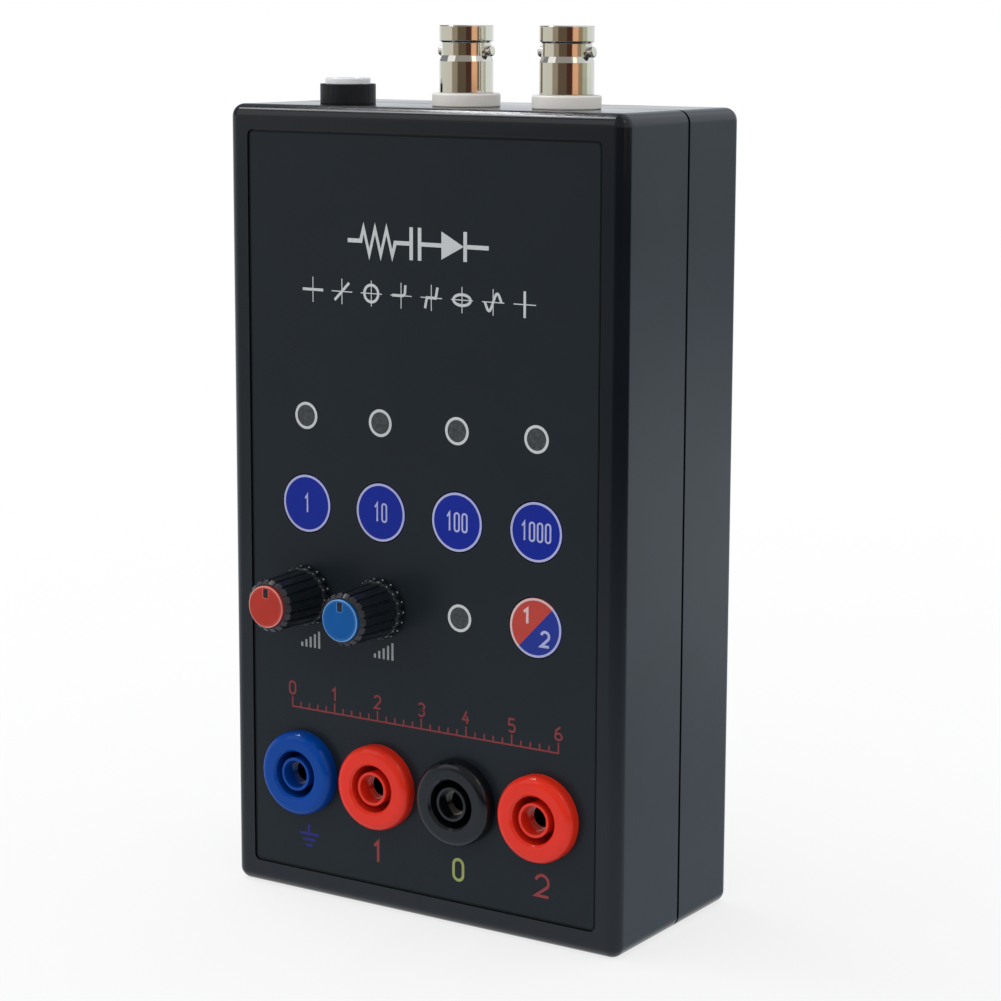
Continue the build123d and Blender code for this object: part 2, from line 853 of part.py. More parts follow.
inlet_foot = -wall - inlet_body_length
with BuildPart() as inlet_housing:
    with BuildSketch(upright_plane(inlet_x)):
        with BuildLine():
            Polyline(
                (0, inlet_foot),
                (inlet_body_radius, inlet_foot),
                (inlet_body_radius, -wall - inlet_flange_thickness),
                (inlet_flange_radius, -wall - inlet_flange_thickness),
                (inlet_flange_radius, -wall),
                (inlet_barrel_radius, -wall),
                (inlet_barrel_radius, inlet_barrel_height - inlet_lip_edge),
                (inlet_barrel_radius - inlet_lip_edge, inlet_barrel_height),
                (inlet_bore_radius, inlet_barrel_height),
                (inlet_bore_radius, -inlet_bore_depth),
                (0, -inlet_bore_depth),
                close=True,
            )
        make_face()
    revolve(axis=upright_axis(inlet_x))
save(inlet_housing, "inlet_housing")

with BuildPart() as inlet_ring_nut:
    with BuildSketch(above_top(0)):
        with Locations((inlet_x, connector_y)):
            Circle(inlet_ring_radius)
    extrude(amount=inlet_ring_height)
    chamfer(inlet_ring_nut.edges().group_by(Axis.Z)[-1], inlet_ring_edge)
    with BuildSketch(above_top(0)):
        with Locations((inlet_x, connector_y)):
            Circle(inlet_barrel_radius + thread_clearance)
            with PolarLocations(inlet_ring_radius, inlet_ring_notches):
                RegularPolygon(inlet_notch_depth, 4)
    extrude(amount=inlet_ring_height, mode=Mode.SUBTRACT)
save(inlet_ring_nut, "inlet_ring_nut")

with BuildPart() as inlet_pin:
    with BuildSketch(above_top(-inlet_bore_depth)):
        with Locations((inlet_x, connector_y)):
            Circle(inlet_pin_radius)
    extrude(amount=inlet_bore_depth + inlet_pin_height)
    chamfer(inlet_pin.edges().group_by(Axis.Z)[-1], inlet_pin_edge)
save(inlet_pin, "inlet_pin")

with BuildPart() as inlet_tags:
    with BuildSketch(above_top(inlet_foot)):
        with Locations((inlet_x, connector_y)):
            with GridLocations(inlet_tag_pitch, 0, 2, 1):
                Rectangle(inlet_tag_thickness, inlet_tag_width)
    extrude(amount=-inlet_tag_length)
save(inlet_tags, "inlet_tags")
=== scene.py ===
import math
import bmesh
import bpy
from mathutils import Euler, Matrix, Vector


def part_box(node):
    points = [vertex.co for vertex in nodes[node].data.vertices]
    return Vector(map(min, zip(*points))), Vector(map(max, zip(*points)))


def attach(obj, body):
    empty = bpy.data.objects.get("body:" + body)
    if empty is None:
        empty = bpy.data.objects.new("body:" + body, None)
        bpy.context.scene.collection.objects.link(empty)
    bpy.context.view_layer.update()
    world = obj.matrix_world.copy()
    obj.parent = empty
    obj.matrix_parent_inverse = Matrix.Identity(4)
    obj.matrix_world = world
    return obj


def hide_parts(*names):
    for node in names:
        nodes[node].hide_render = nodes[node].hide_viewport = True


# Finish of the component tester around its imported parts.
# Lengths are millimetres until a piece is placed.
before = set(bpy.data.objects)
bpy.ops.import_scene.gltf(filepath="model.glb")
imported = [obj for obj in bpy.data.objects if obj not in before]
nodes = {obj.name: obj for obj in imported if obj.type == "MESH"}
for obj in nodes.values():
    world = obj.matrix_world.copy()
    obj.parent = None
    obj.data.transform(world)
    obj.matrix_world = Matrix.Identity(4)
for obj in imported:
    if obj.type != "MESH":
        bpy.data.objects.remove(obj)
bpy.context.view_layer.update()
mm = 0.001
print("frame loaded:", len(nodes), "nodes")


class Values(dict):
    # a dictionary whose values are also read as look.name
    __getattr__ = dict.__getitem__


def srgb(red, green, blue):
    def linear(value):
        value = value / 255
        return value / 12.92 if value <= 0.04045 else ((value + 0.055) / 1.055) ** 2.4
    return (linear(red), linear(green), linear(blue), 1.0)


# nodes of the materials

def addNode(tree, kind, inputs=None, **settings):
    # inputs holds plain values or the sockets that feed them
    made = tree.nodes.new("ShaderNode" + kind)
    for key, value in settings.items():
        setattr(made, key, value)
    for key, value in (inputs or {}).items():
        if isinstance(value, bpy.types.NodeSocket):
            tree.links.new(value, made.inputs[key])
        else:
            made.inputs[key].default_value = value
    return made


def addMath(tree, operation, first, second=0.0, third=0.0, clamp=False):
    made = addNode(tree, "Math", {0: first, 1: second, 2: third}, operation=operation, use_clamp=clamp)
    return made.outputs[0]


def addVector(tree, operation, first, second=(0.0, 0.0, 0.0)):
    return addNode(tree, "VectorMath", {0: first, 1: second}, operation=operation).outputs


def addNoise(tree, spot, scale, detail, distortion=0.0):
    inputs = {"Vector": spot, "Scale": scale, "Detail": detail, "Distortion": distortion}
    return addNode(tree, "TexNoise", inputs).outputs[0]


def addRange(tree, value, low, high, start=0.0, end=1.0):
    return addNode(tree, "MapRange", {0: value, 1: low, 2: high, 3: start, 4: end}).outputs[0]


def objectSpot(tree):
    return addNode(tree, "TexCoord").outputs["Object"]


def blendColours(tree, mask, under, over):
    return addNode(tree, "Mix", {0: mask, 6: under, 7: over}, data_type="RGBA").outputs[2]


def startMaterial(name):
    material = bpy.data.materials.new(name)
    material.use_nodes = True
    material.node_tree.nodes.clear()
    return material, material.node_tree


def finishMaterial(tree, shader, kind="Material"):
    output = tree.nodes.new("ShaderNodeOutput" + kind)
    tree.links.new(shader.outputs[0], output.inputs["Surface"])


def useGroup(tree, effect, **inputs):
    made = tree.nodes.new("ShaderNodeGroup")
    made.node_tree = effects[effect]
    for label, value in inputs.items():
        made.inputs[label].default_value = value
    return made.outputs


# places on the case

def boxOf(node):
    low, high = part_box(node)
    return Vector(low) / mm, Vector(high) / mm


def middleOf(node):
    low, high = boxOf(node)
    return (low + high) / 2


filmFace = boxOf("panel_film")[0].y
topFace = boxOf("front_shell")[1].z


def frontSpan(node):
    # the middle, half width, front and rear of a piece, the last two as heights above the film
    low, high = boxOf(node)
    return middleOf(node), (high.x - low.x) / 2, filmFace - low.y, filmFace - high.y


def topSpan(node):
    # the same for a piece on the top of the case, with its foot and top
    low, high = boxOf(node)
    return middleOf(node), (high.x - low.x) / 2, low.z - topFace, high.z - topFace


def onFront(x, z, proud=0.0):
    # local x to the right, y up the panel, z out of the panel
    turn = Matrix(((1, 0, 0), (0, 0, -1), (0, 1, 0))).to_4x4()
    return Matrix.Translation((x, filmFace - proud, z)) @ turn


def onTop(x, y):
    return Matrix.Translation((x, y, topFace))


def onBack(x, y, z):
    # local z out of the back of the case
    turn = Matrix(((-1, 0, 0), (0, 0, 1), (0, 1, 0))).to_4x4()
    return Matrix.Translation((x, y, z)) @ turn


# meshes and pieces

def roundCorners(corners, steps=6):
    # corners are (x, y, radius); a radius becomes an arc between the two straight sides,
    # and a spare point on each long straight side keeps its shading flat
    longSide, spare = 0.3, 0.08
    count = len(corners)
    spots = [Vector(corner[:2]) for corner in corners]
    sides = []
    for i, here in enumerate(spots):
        toLast = (spots[i - 1] - here).normalized()
        toNext = (spots[(i + 1) % count] - here).normalized()
        half = toLast.angle(toNext) / 2
        sides.append((toLast, toNext, half, corners[i][2] / math.tan(half)))
    points = []
    for i, here in enumerate(spots):
        toLast, toNext, half, reach = sides[i]
        radius = corners[i][2]
        if radius == 0:
            points.append(here)
            continue
        j = (i + 1) % count
        centre = here + (toLast + toNext).normalized() * radius / math.sin(half)
        start = here + toLast * reach - centre
        end = here + toNext * reach - centre
        sweep = math.atan2(start.cross(end), start.dot(end))
        if (spots[i - 1] - here).length - reach - sides[i - 1][3] > longSide:
            points.append(here + toLast * (reach + spare))
        for step in range(steps + 1):
            points.append(centre + Matrix.Rotation(sweep * step / steps, 2) @ start)
        if (spots[j] - here).length - reach - sides[j][3] > longSide:
            points.append(here + toNext * (reach + spare))
    return points


def turnProfile(bm, profile, segments=96, closed=True, radiusAt=None):
    # revolves (radius, height) points about the local z axis
    rings = []
    for radius, height in profile:
        if radius < 1e-6:
            rings.append([bm.verts.new((0, 0, height))])
            continue
        ring = []
        for i in range(segments):
            angle = 2 * math.pi * i / segments
            reach = radiusAt(radius, height, angle) if radiusAt else radius
            ring.append(bm.verts.new((reach * math.cos(angle), reach * math.sin(angle), height)))
        rings.append(ring)
    pairs = list(zip(rings, rings[1:]))
    if closed:
        pairs.append((rings[-1], rings[0]))
    for low, high in pairs:
        if len(low) == 1 and len(high) == 1:
            continue
        for i in range(segments):
            j = (i + 1) % segments
            corners = [low[i % len(low)], low[j % len(low)], high[j % len(high)], high[i % len(high)]]
            bm.faces.new(list(dict.fromkeys(corners)))


def turned(corners, steps=6, segments=96, closed=True, radiusAt=None):
    bm = bmesh.new()
    turnProfile(bm, roundCorners(corners, steps), segments, closed, radiusAt)
    return bm


def addBlock(bm, centre, size, edge):
    place = Matrix.Translation(centre) @ Matrix.Diagonal((*size, 1))
    made = bmesh.ops.create_cube(bm, size=1.0, matrix=place)
    edges = list({e for v in made["verts"] for e in v.link_edges})
    bmesh.ops.bevel(bm, geom=edges, offset=edge, segments=3, profile=0.5, affect="EDGES")


def newMesh(name, bm):
    mesh = bpy.data.meshes.new(name)
    bm.to_mesh(mesh)
    bm.free()
    return mesh


def newObject(name, data):
    made = bpy.data.objects.new(name, data)
    bpy.context.scene.collection.objects.link(made)
    return made


def joinInto(bm, part, place):
    part.transform(place)
    carry = newMesh("carry", part)
    bm.from_mesh(carry)
    bpy.data.meshes.remove(carry)


def shadeMesh(mesh, sharp=32):
    mesh.shade_smooth()
    mesh.set_sharp_from_angle(angle=math.radians(sharp))


def finishPiece(name, bm, place, material, body, node=None, sharp=32):
    bmesh.ops.remove_doubles(bm, verts=bm.verts, dist=1e-4)
    bmesh.ops.recalc_face_normals(bm, faces=bm.faces)
    bm.transform(Matrix.Scale(mm, 4) @ place)
    mesh = newMesh(name, bm)
    shadeMesh(mesh, sharp)
    mesh.materials.append(material)
    piece = newObject(name, mesh)
    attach(piece, body)
    if node:
        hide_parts(node)
    return piece


def cutOut(piece, bm, place, overlapping=False):
    # takes the shape in bm out of a finished piece
    bm.transform(Matrix.Scale(mm, 4) @ place)
    cutter = newObject("cutter", newMesh("cutter", bm))
    cut = piece.modifiers.new("cut", "BOOLEAN")
    cut.object = cutter
    cut.solver = "EXACT"
    cut.use_self = overlapping
    graph = bpy.context.evaluated_depsgraph_get()
    mesh = bpy.data.meshes.new_from_object(piece.evaluated_get(graph))
    piece.modifiers.clear()
    piece.data = mesh
    shadeMesh(mesh)
    bpy.data.objects.remove(cutter)


# surface effects shared by the materials

effectLook = Values(
    toneScale=90.0, smudgeBend=0.8, smudgeFrom=0.35, smudgeTo=0.68, speckSize=0.09, wearScale=420.0,
    wearGain=9.0, lineTurn=(0.2, 0.35, 0.5), lineStretch=(1.0, 1.0, 0.04), lineScale=2600.0, lineCut=0.68,
    patchCut=0.56,
)
effects = {}


def addEffect(name, build, outputs, **inputs):
    # a group of nodes that takes and returns plain values
    tree = bpy.data.node_groups.new(name, "ShaderNodeTree")
    for label, value in inputs.items():
        socket = tree.interface.new_socket(label, in_out="INPUT", socket_type="NodeSocketFloat")
        socket.default_value = value
    for label in outputs:
        tree.interface.new_socket(label, in_out="OUTPUT", socket_type="NodeSocketFloat")
    given = tree.nodes.new("NodeGroupInput").outputs
    result = tree.nodes.new("NodeGroupOutput").inputs
    for label, socket in zip(outputs, build(tree, given, objectSpot(tree), effectLook)):
        tree.links.new(socket, result[label])
    effects[name] = tree


def buildGrain(tree, given, spot, look):
    # fine mould texture and a slow drift of tone
    slow = addMath(tree, "SUBTRACT", addNoise(tree, spot, look.toneScale, 3.0), 0.5)
    swing = addMath(tree, "MULTIPLY", slow, given["Drift"])
    return addNoise(tree, spot, given["Scale"], 4.0), addMath(tree, "MULTIPLY_ADD", swing, 2.0, 1.0)


def buildSmudges(tree, given, spot, look):
    # handling marks that dull the gloss in patches
    bend = addNoise(tree, spot, given["Scale"], 5.0, look.smudgeBend)
    return [addRange(tree, bend, look.smudgeFrom, look.smudgeTo, given["Low"], given["High"])]


def buildDust(tree, given, spot, look):
    # sparse pale specks
    cells = addNode(tree, "TexVoronoi", {"Vector": spot, "Scale": given["Scale"]}).outputs
    tint = addNode(tree, "SeparateColor", {0: cells["Color"]}).outputs
    chosen = addMath(tree, "LESS_THAN", tint[0], given["Amount"])
    size = addMath(tree, "MULTIPLY", tint[1], look.speckSize)
    return [addMath(tree, "MULTIPLY", chosen, addMath(tree, "LESS_THAN", cells["Distance"], size))]


def buildEdgeWearAndSheen(tree, given, spot, look):
    # worn corners, and on some materials a painted highlight along the edges: where a rounded normal leaves
    # the true one
    rounded = addNode(tree, "Bevel", {"Radius": given["Width"]}, samples=4).outputs[0]
    true = addNode(tree, "NewGeometry").outputs["Normal"]
    turn = addMath(tree, "SUBTRACT", 1.0, addVector(tree, "DOT_PRODUCT", rounded, true)["Value"])
    broken = addMath(tree, "MULTIPLY", turn, addNoise(tree, spot, look.wearScale, 3.0))
    wornAndLit = addMath(tree, "MULTIPLY", broken, look.wearGain, clamp=True)
    return [addMath(tree, "MULTIPLY", wornAndLit, given["Amount"])]


def buildHairlines(tree, given, spot, look):
    # fine scratches that run mostly one way
    turned = {"Vector": spot, "Rotation": look.lineTurn, "Scale": look.lineStretch}
    lines = addNoise(tree, addNode(tree, "Mapping", turned).outputs[0], look.lineScale, 2.0)
    thin = addMath(tree, "GREATER_THAN", lines, look.lineCut)
    patch = addMath(tree, "GREATER_THAN", addNoise(tree, spot, given["Scale"], 2.0), look.patchCut)
    return [addMath(tree, "MULTIPLY", addMath(tree, "MULTIPLY", thin, patch), given["Amount"])]


addEffect("grain", buildGrain, ["Height", "Tone"], Scale=1500.0, Drift=0.1)
addEffect("smudges", buildSmudges, ["Roughness"], Scale=40.0, Low=0.25, High=0.4)
addEffect("dust", buildDust, ["Mask"], Scale=260.0, Amount=0.1)
addEffect("edgeWearAndSheen", buildEdgeWearAndSheen, ["Mask"], Width=0.0004, Amount=0.5)
addEffect("hairlines", buildHairlines, ["Mask"], Scale=60.0, Amount=0.3)
print("surface effects built:", ", ".join(effects))


# materials: a finish is what a material starts from, and its own values are laid over it

plasticFinish = dict(
    colour=(40, 40, 40), drift=0.12, grainScale=1500.0, grainDepth=0.02, bump=0.6, smooth=0.3, dull=0.42,
    smudgeScale=45.0, specular=0.5, metallic=0.0, milk=0.0, wear=0.2, wearColour=(120, 120, 122), dust=0.02,
    dustColour=(170, 172, 175), scratches=0.0, scratchScale=60.0,
)
metalFinish = dict(
    plasticFinish, colour=(226, 221, 212), smooth=0.03, dull=0.09, smudgeScale=160.0, grainScale=5200.0,
    grainDepth=0.0006, drift=0.08, bump=0.5, metallic=1.0, wear=0.0, wearColour=(180, 150, 90), dust=0.0,
    scratches=0.3, scratchScale=220.0,
)


def surface(name, finish=plasticFinish, paint=None, textured=None, **values):
    # paint(tree) may give the colour of a printed or two-colour surface,
    # and textured(tree) a mask of where the mould was left matt
    look = Values(finish, **values)
    material, tree = startMaterial(name)
    grain = useGroup(tree, "grain", Scale=look.grainScale, Drift=look.drift)
    smudges = useGroup(tree, "smudges", Scale=look.smudgeScale, Low=look.smooth, High=look.dull)

    def toned(colour):
        return addNode(tree, "HueSaturation", {"Color": colour, "Value": grain["Tone"]}).outputs[0]

    colour = toned(paint(tree) if paint else srgb(*look.colour))
    roughness = smudges["Roughness"]
    height = grain["Height"]
    if textured:
        mask = textured(tree)
        colour = blendColours(tree, mask, colour, toned(srgb(*look.texturedColour)))
        roughness = addNode(tree, "Mix", {0: mask, 2: roughness, 3: look.texturedRoughness}).outputs[0]
        depth = addMath(tree, "MULTIPLY_ADD", mask, 1 - look.shinyGrain, look.shinyGrain)
        height = addMath(tree, "MULTIPLY", height, depth)
    # the edge mask paints worn corners, and on the caps and knobs it also paints highlights along the edges
    for key, effect in (("wear", "edgeWearAndSheen"), ("dust", "dust")):
        if look[key]:
            mask = useGroup(tree, effect, Amount=look[key])["Mask"]
            colour = blendColours(tree, mask, colour, srgb(*look[key + "Colour"]))
    if look.scratches:
        lines = useGroup(tree, "hairlines", Scale=look.scratchScale, Amount=look.scratches)
        height = addMath(tree, "ADD", height, lines["Mask"])
    bump = {"Strength": look.bump, "Distance": look.grainDepth * mm, "Height": height}
    finishMaterial(tree, addNode(tree, "BsdfPrincipled", {
        "Base Color": colour, "Roughness": roughness, "Normal": addNode(tree, "Bump", bump).outputs[0],
        "Metallic": look.metallic, "Specular IOR Level": look.specular,
        "Subsurface Weight": look.milk, "Subsurface Scale": mm,
    }))
    return material


paintLook = Values(
    splitAcross=(-0.72, 0.0, 0.69), splitLow=(30, 49, 138), splitHigh=(178, 64, 54), windowScale=1500.0,
    windowFrom=0.35, windowTo=0.65, windowDark=(50, 55, 58), windowPale=(72, 76, 78), boardScale=190.0,
    boardGap=0.03, boardMask=(20, 92, 52), boardShade=(16, 82, 46), boardTrack=(36, 118, 66),
    faceDepth=0.02,
)


def splitPaint(tree):
    # red above the diagonal, blue below it, about the key's own centre
    look = paintLook
    local = addVector(tree, "SUBTRACT", objectSpot(tree), middleOf("channel_button") * mm)[0]
    across = addVector(tree, "DOT_PRODUCT", local, look.splitAcross)["Value"]
    side = addMath(tree, "GREATER_THAN", across, 0.0)
    return blendColours(tree, side, srgb(*look.splitLow), srgb(*look.splitHigh))


def windowPaint(tree):
    # the mottled diffuser of the lamp shows through its smoked window
    look = paintLook
    mottle = addNoise(tree, objectSpot(tree), look.windowScale, 3.0)
    level = addRange(tree, mottle, look.windowFrom, look.windowTo)
    return blendColours(tree, level, srgb(*look.windowDark), srgb(*look.windowPale))


def boardPaint(tree):
    # green solder mask over the tracks
    look = paintLook
    return addNode(tree, "TexBrick", {
        "Vector": objectSpot(tree), "Color1": srgb(*look.boardMask), "Color2": srgb(*look.boardShade),
        "Mortar": srgb(*look.boardTrack), "Scale": look.boardScale, "Mortar Size": look.boardGap,
    }).outputs["Color"]


def sideMask(tree):
    # the flat sides, back and bottom kept the mould's fine texture;
    # the front, top and round edges shine
    depth = paintLook.faceDepth
    flankAt = boxOf("front_shell")[1].x - depth
    backAt = boxOf("rear_shell")[1].y - depth
    x, y, z = addNode(tree, "SeparateXYZ", {0: objectSpot(tree)}).outputs
    flank = addMath(tree, "GREATER_THAN", addMath(tree, "ABSOLUTE", x), flankAt * mm)
    rear = addMath(tree, "GREATER_THAN", y, backAt * mm)
    base = addMath(tree, "LESS_THAN", z, depth * mm)
    return addMath(tree, "MAXIMUM", addMath(tree, "MAXIMUM", flank, rear), base)


case = surface(
    "casePlastic", textured=sideMask, colour=(13, 18, 24), smooth=0.12, dull=0.2, smudgeScale=34.0,
    drift=0.2, wear=0.12, wearColour=(66, 72, 78), dust=0.004, scratches=0.06, specular=0.42,
    texturedColour=(29, 38, 46), texturedRoughness=0.44, shinyGrain=0.1,
)
printed = dict(plasticFinish, grainScale=3200.0, grainDepth=0.003, specular=0.19)
film = surface(
    "printedFilm", printed, colour=(29, 35, 40), smooth=0.26, dull=0.34, smudgeScale=26.0, drift=0.08,
    wear=0.05, dust=0.003,
)
keyFinish = dict(printed, smooth=0.28, dull=0.36, drift=0.1, wear=0.0, dust=0.002)
keyBlue = surface("buttonBlue", keyFinish, colour=(8, 34, 140))
keySplit = surface("buttonSplit", keyFinish, splitPaint)

knobFinish = dict(
    plasticFinish, colour=(26, 32, 37), smooth=0.24, dull=0.36, grainScale=2600.0, grainDepth=0.006,
    dust=0.01, wear=0.12, wearColour=(62, 66, 70), specular=0.42,
)
knobBlack = surface("knobPlastic", knobFinish)
# painted sheen: the knob's front slope gets a lighter copy of the knob plastic, with pale edges as painted
# glints
knobRimSheen = surface("knobRimSheen", knobFinish, colour=(44, 43, 47), wear=0.3, wearColour=(104, 110, 118), drift=0.5)
knobGlintTips = surface("knobGlintTips", knobFinish, colour=(150, 158, 164), drift=1.4, smooth=0.12)

gloss = dict(plasticFinish, smooth=0.08, dull=0.16, wear=0.18, grainDepth=0.004, dust=0.003)
blackGloss = surface(
    "blackPlastic", gloss, colour=(15, 18, 22), wear=0.25, wearColour=(92, 96, 100), dust=0.02, specular=0.42,
)
blueGloss = surface("bluePlastic", gloss, colour=(0, 64, 150), wearColour=(90, 140, 225), specular=0.2)
redGloss = surface(
    "redPlastic", gloss, colour=(224, 46, 27), wearColour=(250, 140, 120), dull=0.18, specular=0.3,
)

# on the caps the strong edge mask and its pale colours are a painted highlight along the rims, and so are the
# lip colours below
capFinish = dict(
    plasticFinish, smooth=0.22, dull=0.34, wear=0.7, grainDepth=0.006, grainScale=2600.0, specular=0.2,
    drift=0.2,
)
capBlue = surface("capBlue", capFinish, colour=(0, 80, 148), wearColour=(120, 170, 225))
capRed = surface("capRed", capFinish, colour=(170, 48, 36), wearColour=(226, 140, 134))
capBlueLipHighlight = surface("capBlueLipHighlight", colour=(96, 152, 208), wear=0.0, drift=0.9)
capRedLipHighlight = surface("capRedLipHighlight", colour=(216, 130, 124), wear=0.0, drift=0.9)

dullBlack = surface(
    "dullBlack", colour=(29, 33, 37), smooth=0.4, dull=0.55, wear=0.1, wearColour=(70, 74, 78), specular=0.3,
)
nylon = surface(
    "whitePlastic", colour=(245, 242, 237), smooth=0.35, dull=0.5, wear=0.0, dustColour=(150, 146, 138),
    milk=0.15, drift=0.08, grainDepth=0.012,
)
window = surface(
    "clearWindow", paint=windowPaint, smooth=0.26, dull=0.34, wear=0.0, specular=0.24, dust=0.0,
    grainDepth=0.004,
)
lamp = surface("ledResin", colour=(196, 214, 190), smooth=0.12, dull=0.2, milk=0.1, wear=0.0)
board = surface("circuitBoard", paint=boardPaint, dull=0.4, wear=0.1, wearColour=(178, 160, 96))
switchBody = surface("switchPlastic", colour=(30, 30, 32), smooth=0.35, dull=0.5)
relayBody = surface("relayPlastic", colour=(232, 228, 214), smooth=0.25, dull=0.35)
sleeve = surface("capacitorSleeve", colour=(28, 30, 44), smooth=0.25, dull=0.35)
chip = surface("chipResin", colour=(26, 26, 27), smooth=0.5, dull=0.65, grainDepth=0.03)
# painted reflection: near-white plastic for the inlet lip, in place of the bright shine it shows
lipGlint = surface("paintedLipGlint", colour=(236, 238, 241), smooth=0.22, dull=0.36, specular=0.8, wear=0.0)
nickel = surface("nickel", metalFinish)
gold = surface("goldPlate", metalFinish, colour=(224, 178, 92), smooth=0.14, dull=0.26)
zinc = surface(
    "zincScrew", metalFinish, colour=(150, 150, 148), smooth=0.26, dull=0.42, scratches=0.8, wear=0.4,
    wearColour=(205, 204, 200),
)

inkFinish = dict(
    printed, smooth=0.3, dull=0.4, drift=0.16, grainScale=4200.0, grainDepth=0.004, wear=0.0, dust=0.0,
)
# the black ink is painted shade, used only for the line in the gap about the film
inks = dict(
    white=(188, 192, 194), grey=(150, 154, 156), ring=(190, 193, 194), lavender=(166, 168, 206),
    pink=(206, 176, 178), red=(142, 60, 62), dullRed=(128, 54, 56), black=(9, 11, 14),
    blue=(38, 42, 118), lime=(152, 162, 98),
)
for name, colour in inks.items():
    inks[name] = surface("ink" + name[0].upper() + name[1:], inkFinish, colour=colour)
print("materials made")


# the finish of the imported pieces

rangeKeys = [f"range_button_{i}" for i in range(1, 5)]
nodeFinish = {
    case: "front_shell rear_shell", film: "panel_film", window: "indicator_windows",
    keyBlue: " ".join(rangeKeys), keySplit: "channel_button", lamp: "indicator_leds", board: "main_board",
    switchBody: "key_switches channel_plunger " + " ".join(f"range_plunger_{i}" for i in range(1, 5)),
    relayBody: "range_relays", sleeve: "filter_capacitors", chip: "amplifier_chips voltage_regulator",
    nickel: "socket_contacts socket_nuts inner_washers ground_tags bayonet_nuts inlet_tags "
            "left_shaft right_shaft",
    gold: "bayonet_contacts", zinc: "board_screws left_potentiometer right_potentiometer",
    nylon: "bayonet_insulators",
}
for material, names in nodeFinish.items():
    for name in names.split():
        for place in nodes[name].material_slots:
            place.material = material
print("frame pieces finished")


# test sockets: a fat round shroud about a thin inner tube

socketLook = Values(
    headRound=1.5, mouthRadius=4.4, mouthChamfer=0.45, mouthEdge=0.14, shroudDepth=8.75, tubeRadius=3.15,
    tubeBore=2.6, tubeSetback=0.5, tubeEdge=0.13, barrelRadius=5.9, barrelEdge=0.3, headFoot=0.12,
    shroudEdge=0.2,
)


def makeSocket(node, material):
    look = socketLook
    centre, head, front, rear = frontSpan(node)
    mouth, chamfer, mouthEdge = look.mouthRadius, look.mouthChamfer, look.mouthEdge
    tube, bore, tubeEdge = look.tubeRadius, look.tubeBore, look.tubeEdge
    tubeFront = front - look.tubeSetback
    bm = turned([
        (look.barrelRadius, rear, look.barrelEdge), (look.barrelRadius, 0, 0), (head, 0, look.headFoot),
        (head, front, look.headRound), (mouth + chamfer, front, mouthEdge),
        (mouth, front - chamfer, mouthEdge), (mouth, -look.shroudDepth, look.shroudEdge),
        (tube, -look.shroudDepth, look.shroudEdge), (tube, tubeFront, tubeEdge),
        (bore, tubeFront, tubeEdge), (bore, rear, 0),
    ], segments=128)
    finishPiece(node + "_shell", bm, onFront(centre.x, centre.z), material, "case", node)


for side, material, slot in (
    ("blue", blueGloss, "blue_plastic"), ("left_red", redGloss, "red_plastic"),
    ("black", blackGloss, "black_plastic"), ("right_red", redGloss, "red_plastic"),
):
    makeSocket(side + "_socket", material)
print("sockets turned")


# knobs and their caps

# tip and innerTip are the sizes of the pale pips that stand in for glints on the rib ends
knobLook = Values(
    ribs=18, grooveDepth=0.36, grooveFrom=0.7, grooveTo=0.95, footGroove=0.35, taper=2.0, base=5.2,
    collar=5.48, collarHeight=1.3, toothDepth=0.34, runOut=0.5, ribEnd=0.22, rimInner=4.1, rimSlope=1.2,
    rimFade=0.5, shaftBore=3.03, web=2.2, seat=0.7, edge=0.1, sideRings=12, capGap=0.03, tip=0.2,
    innerTip=0.12,
)
capLook = Values(
    edge=0.22, lip=0.2, dish=0.08, pointerWidth=1.1, pointerLength=1.7, pointerInset=0.5, pointerDrop=0.14,
    pointerGap=0.07, pointerEdge=0.12, ridgeWidth=0.22, ridgeShort=0.5, ridgeTall=0.12, ridgeEdge=0.05,
)


def smoothStep(low, high, value):
    share = min(max((value - low) / (high - low), 0.0), 1.0)
    return share * share * (3 - 2 * share)


def paintRimHighlight(piece, material, centre, reach, height):
    # a second material, a painted highlight, for the faces beyond a reach and above a height
    piece.data.materials.append(material)
    for face in piece.data.polygons:
        spot = face.center / mm
        if math.hypot(spot.x - centre.x, spot.z - centre.z) > reach and filmFace - spot.y > height:
            face.material_index = 1


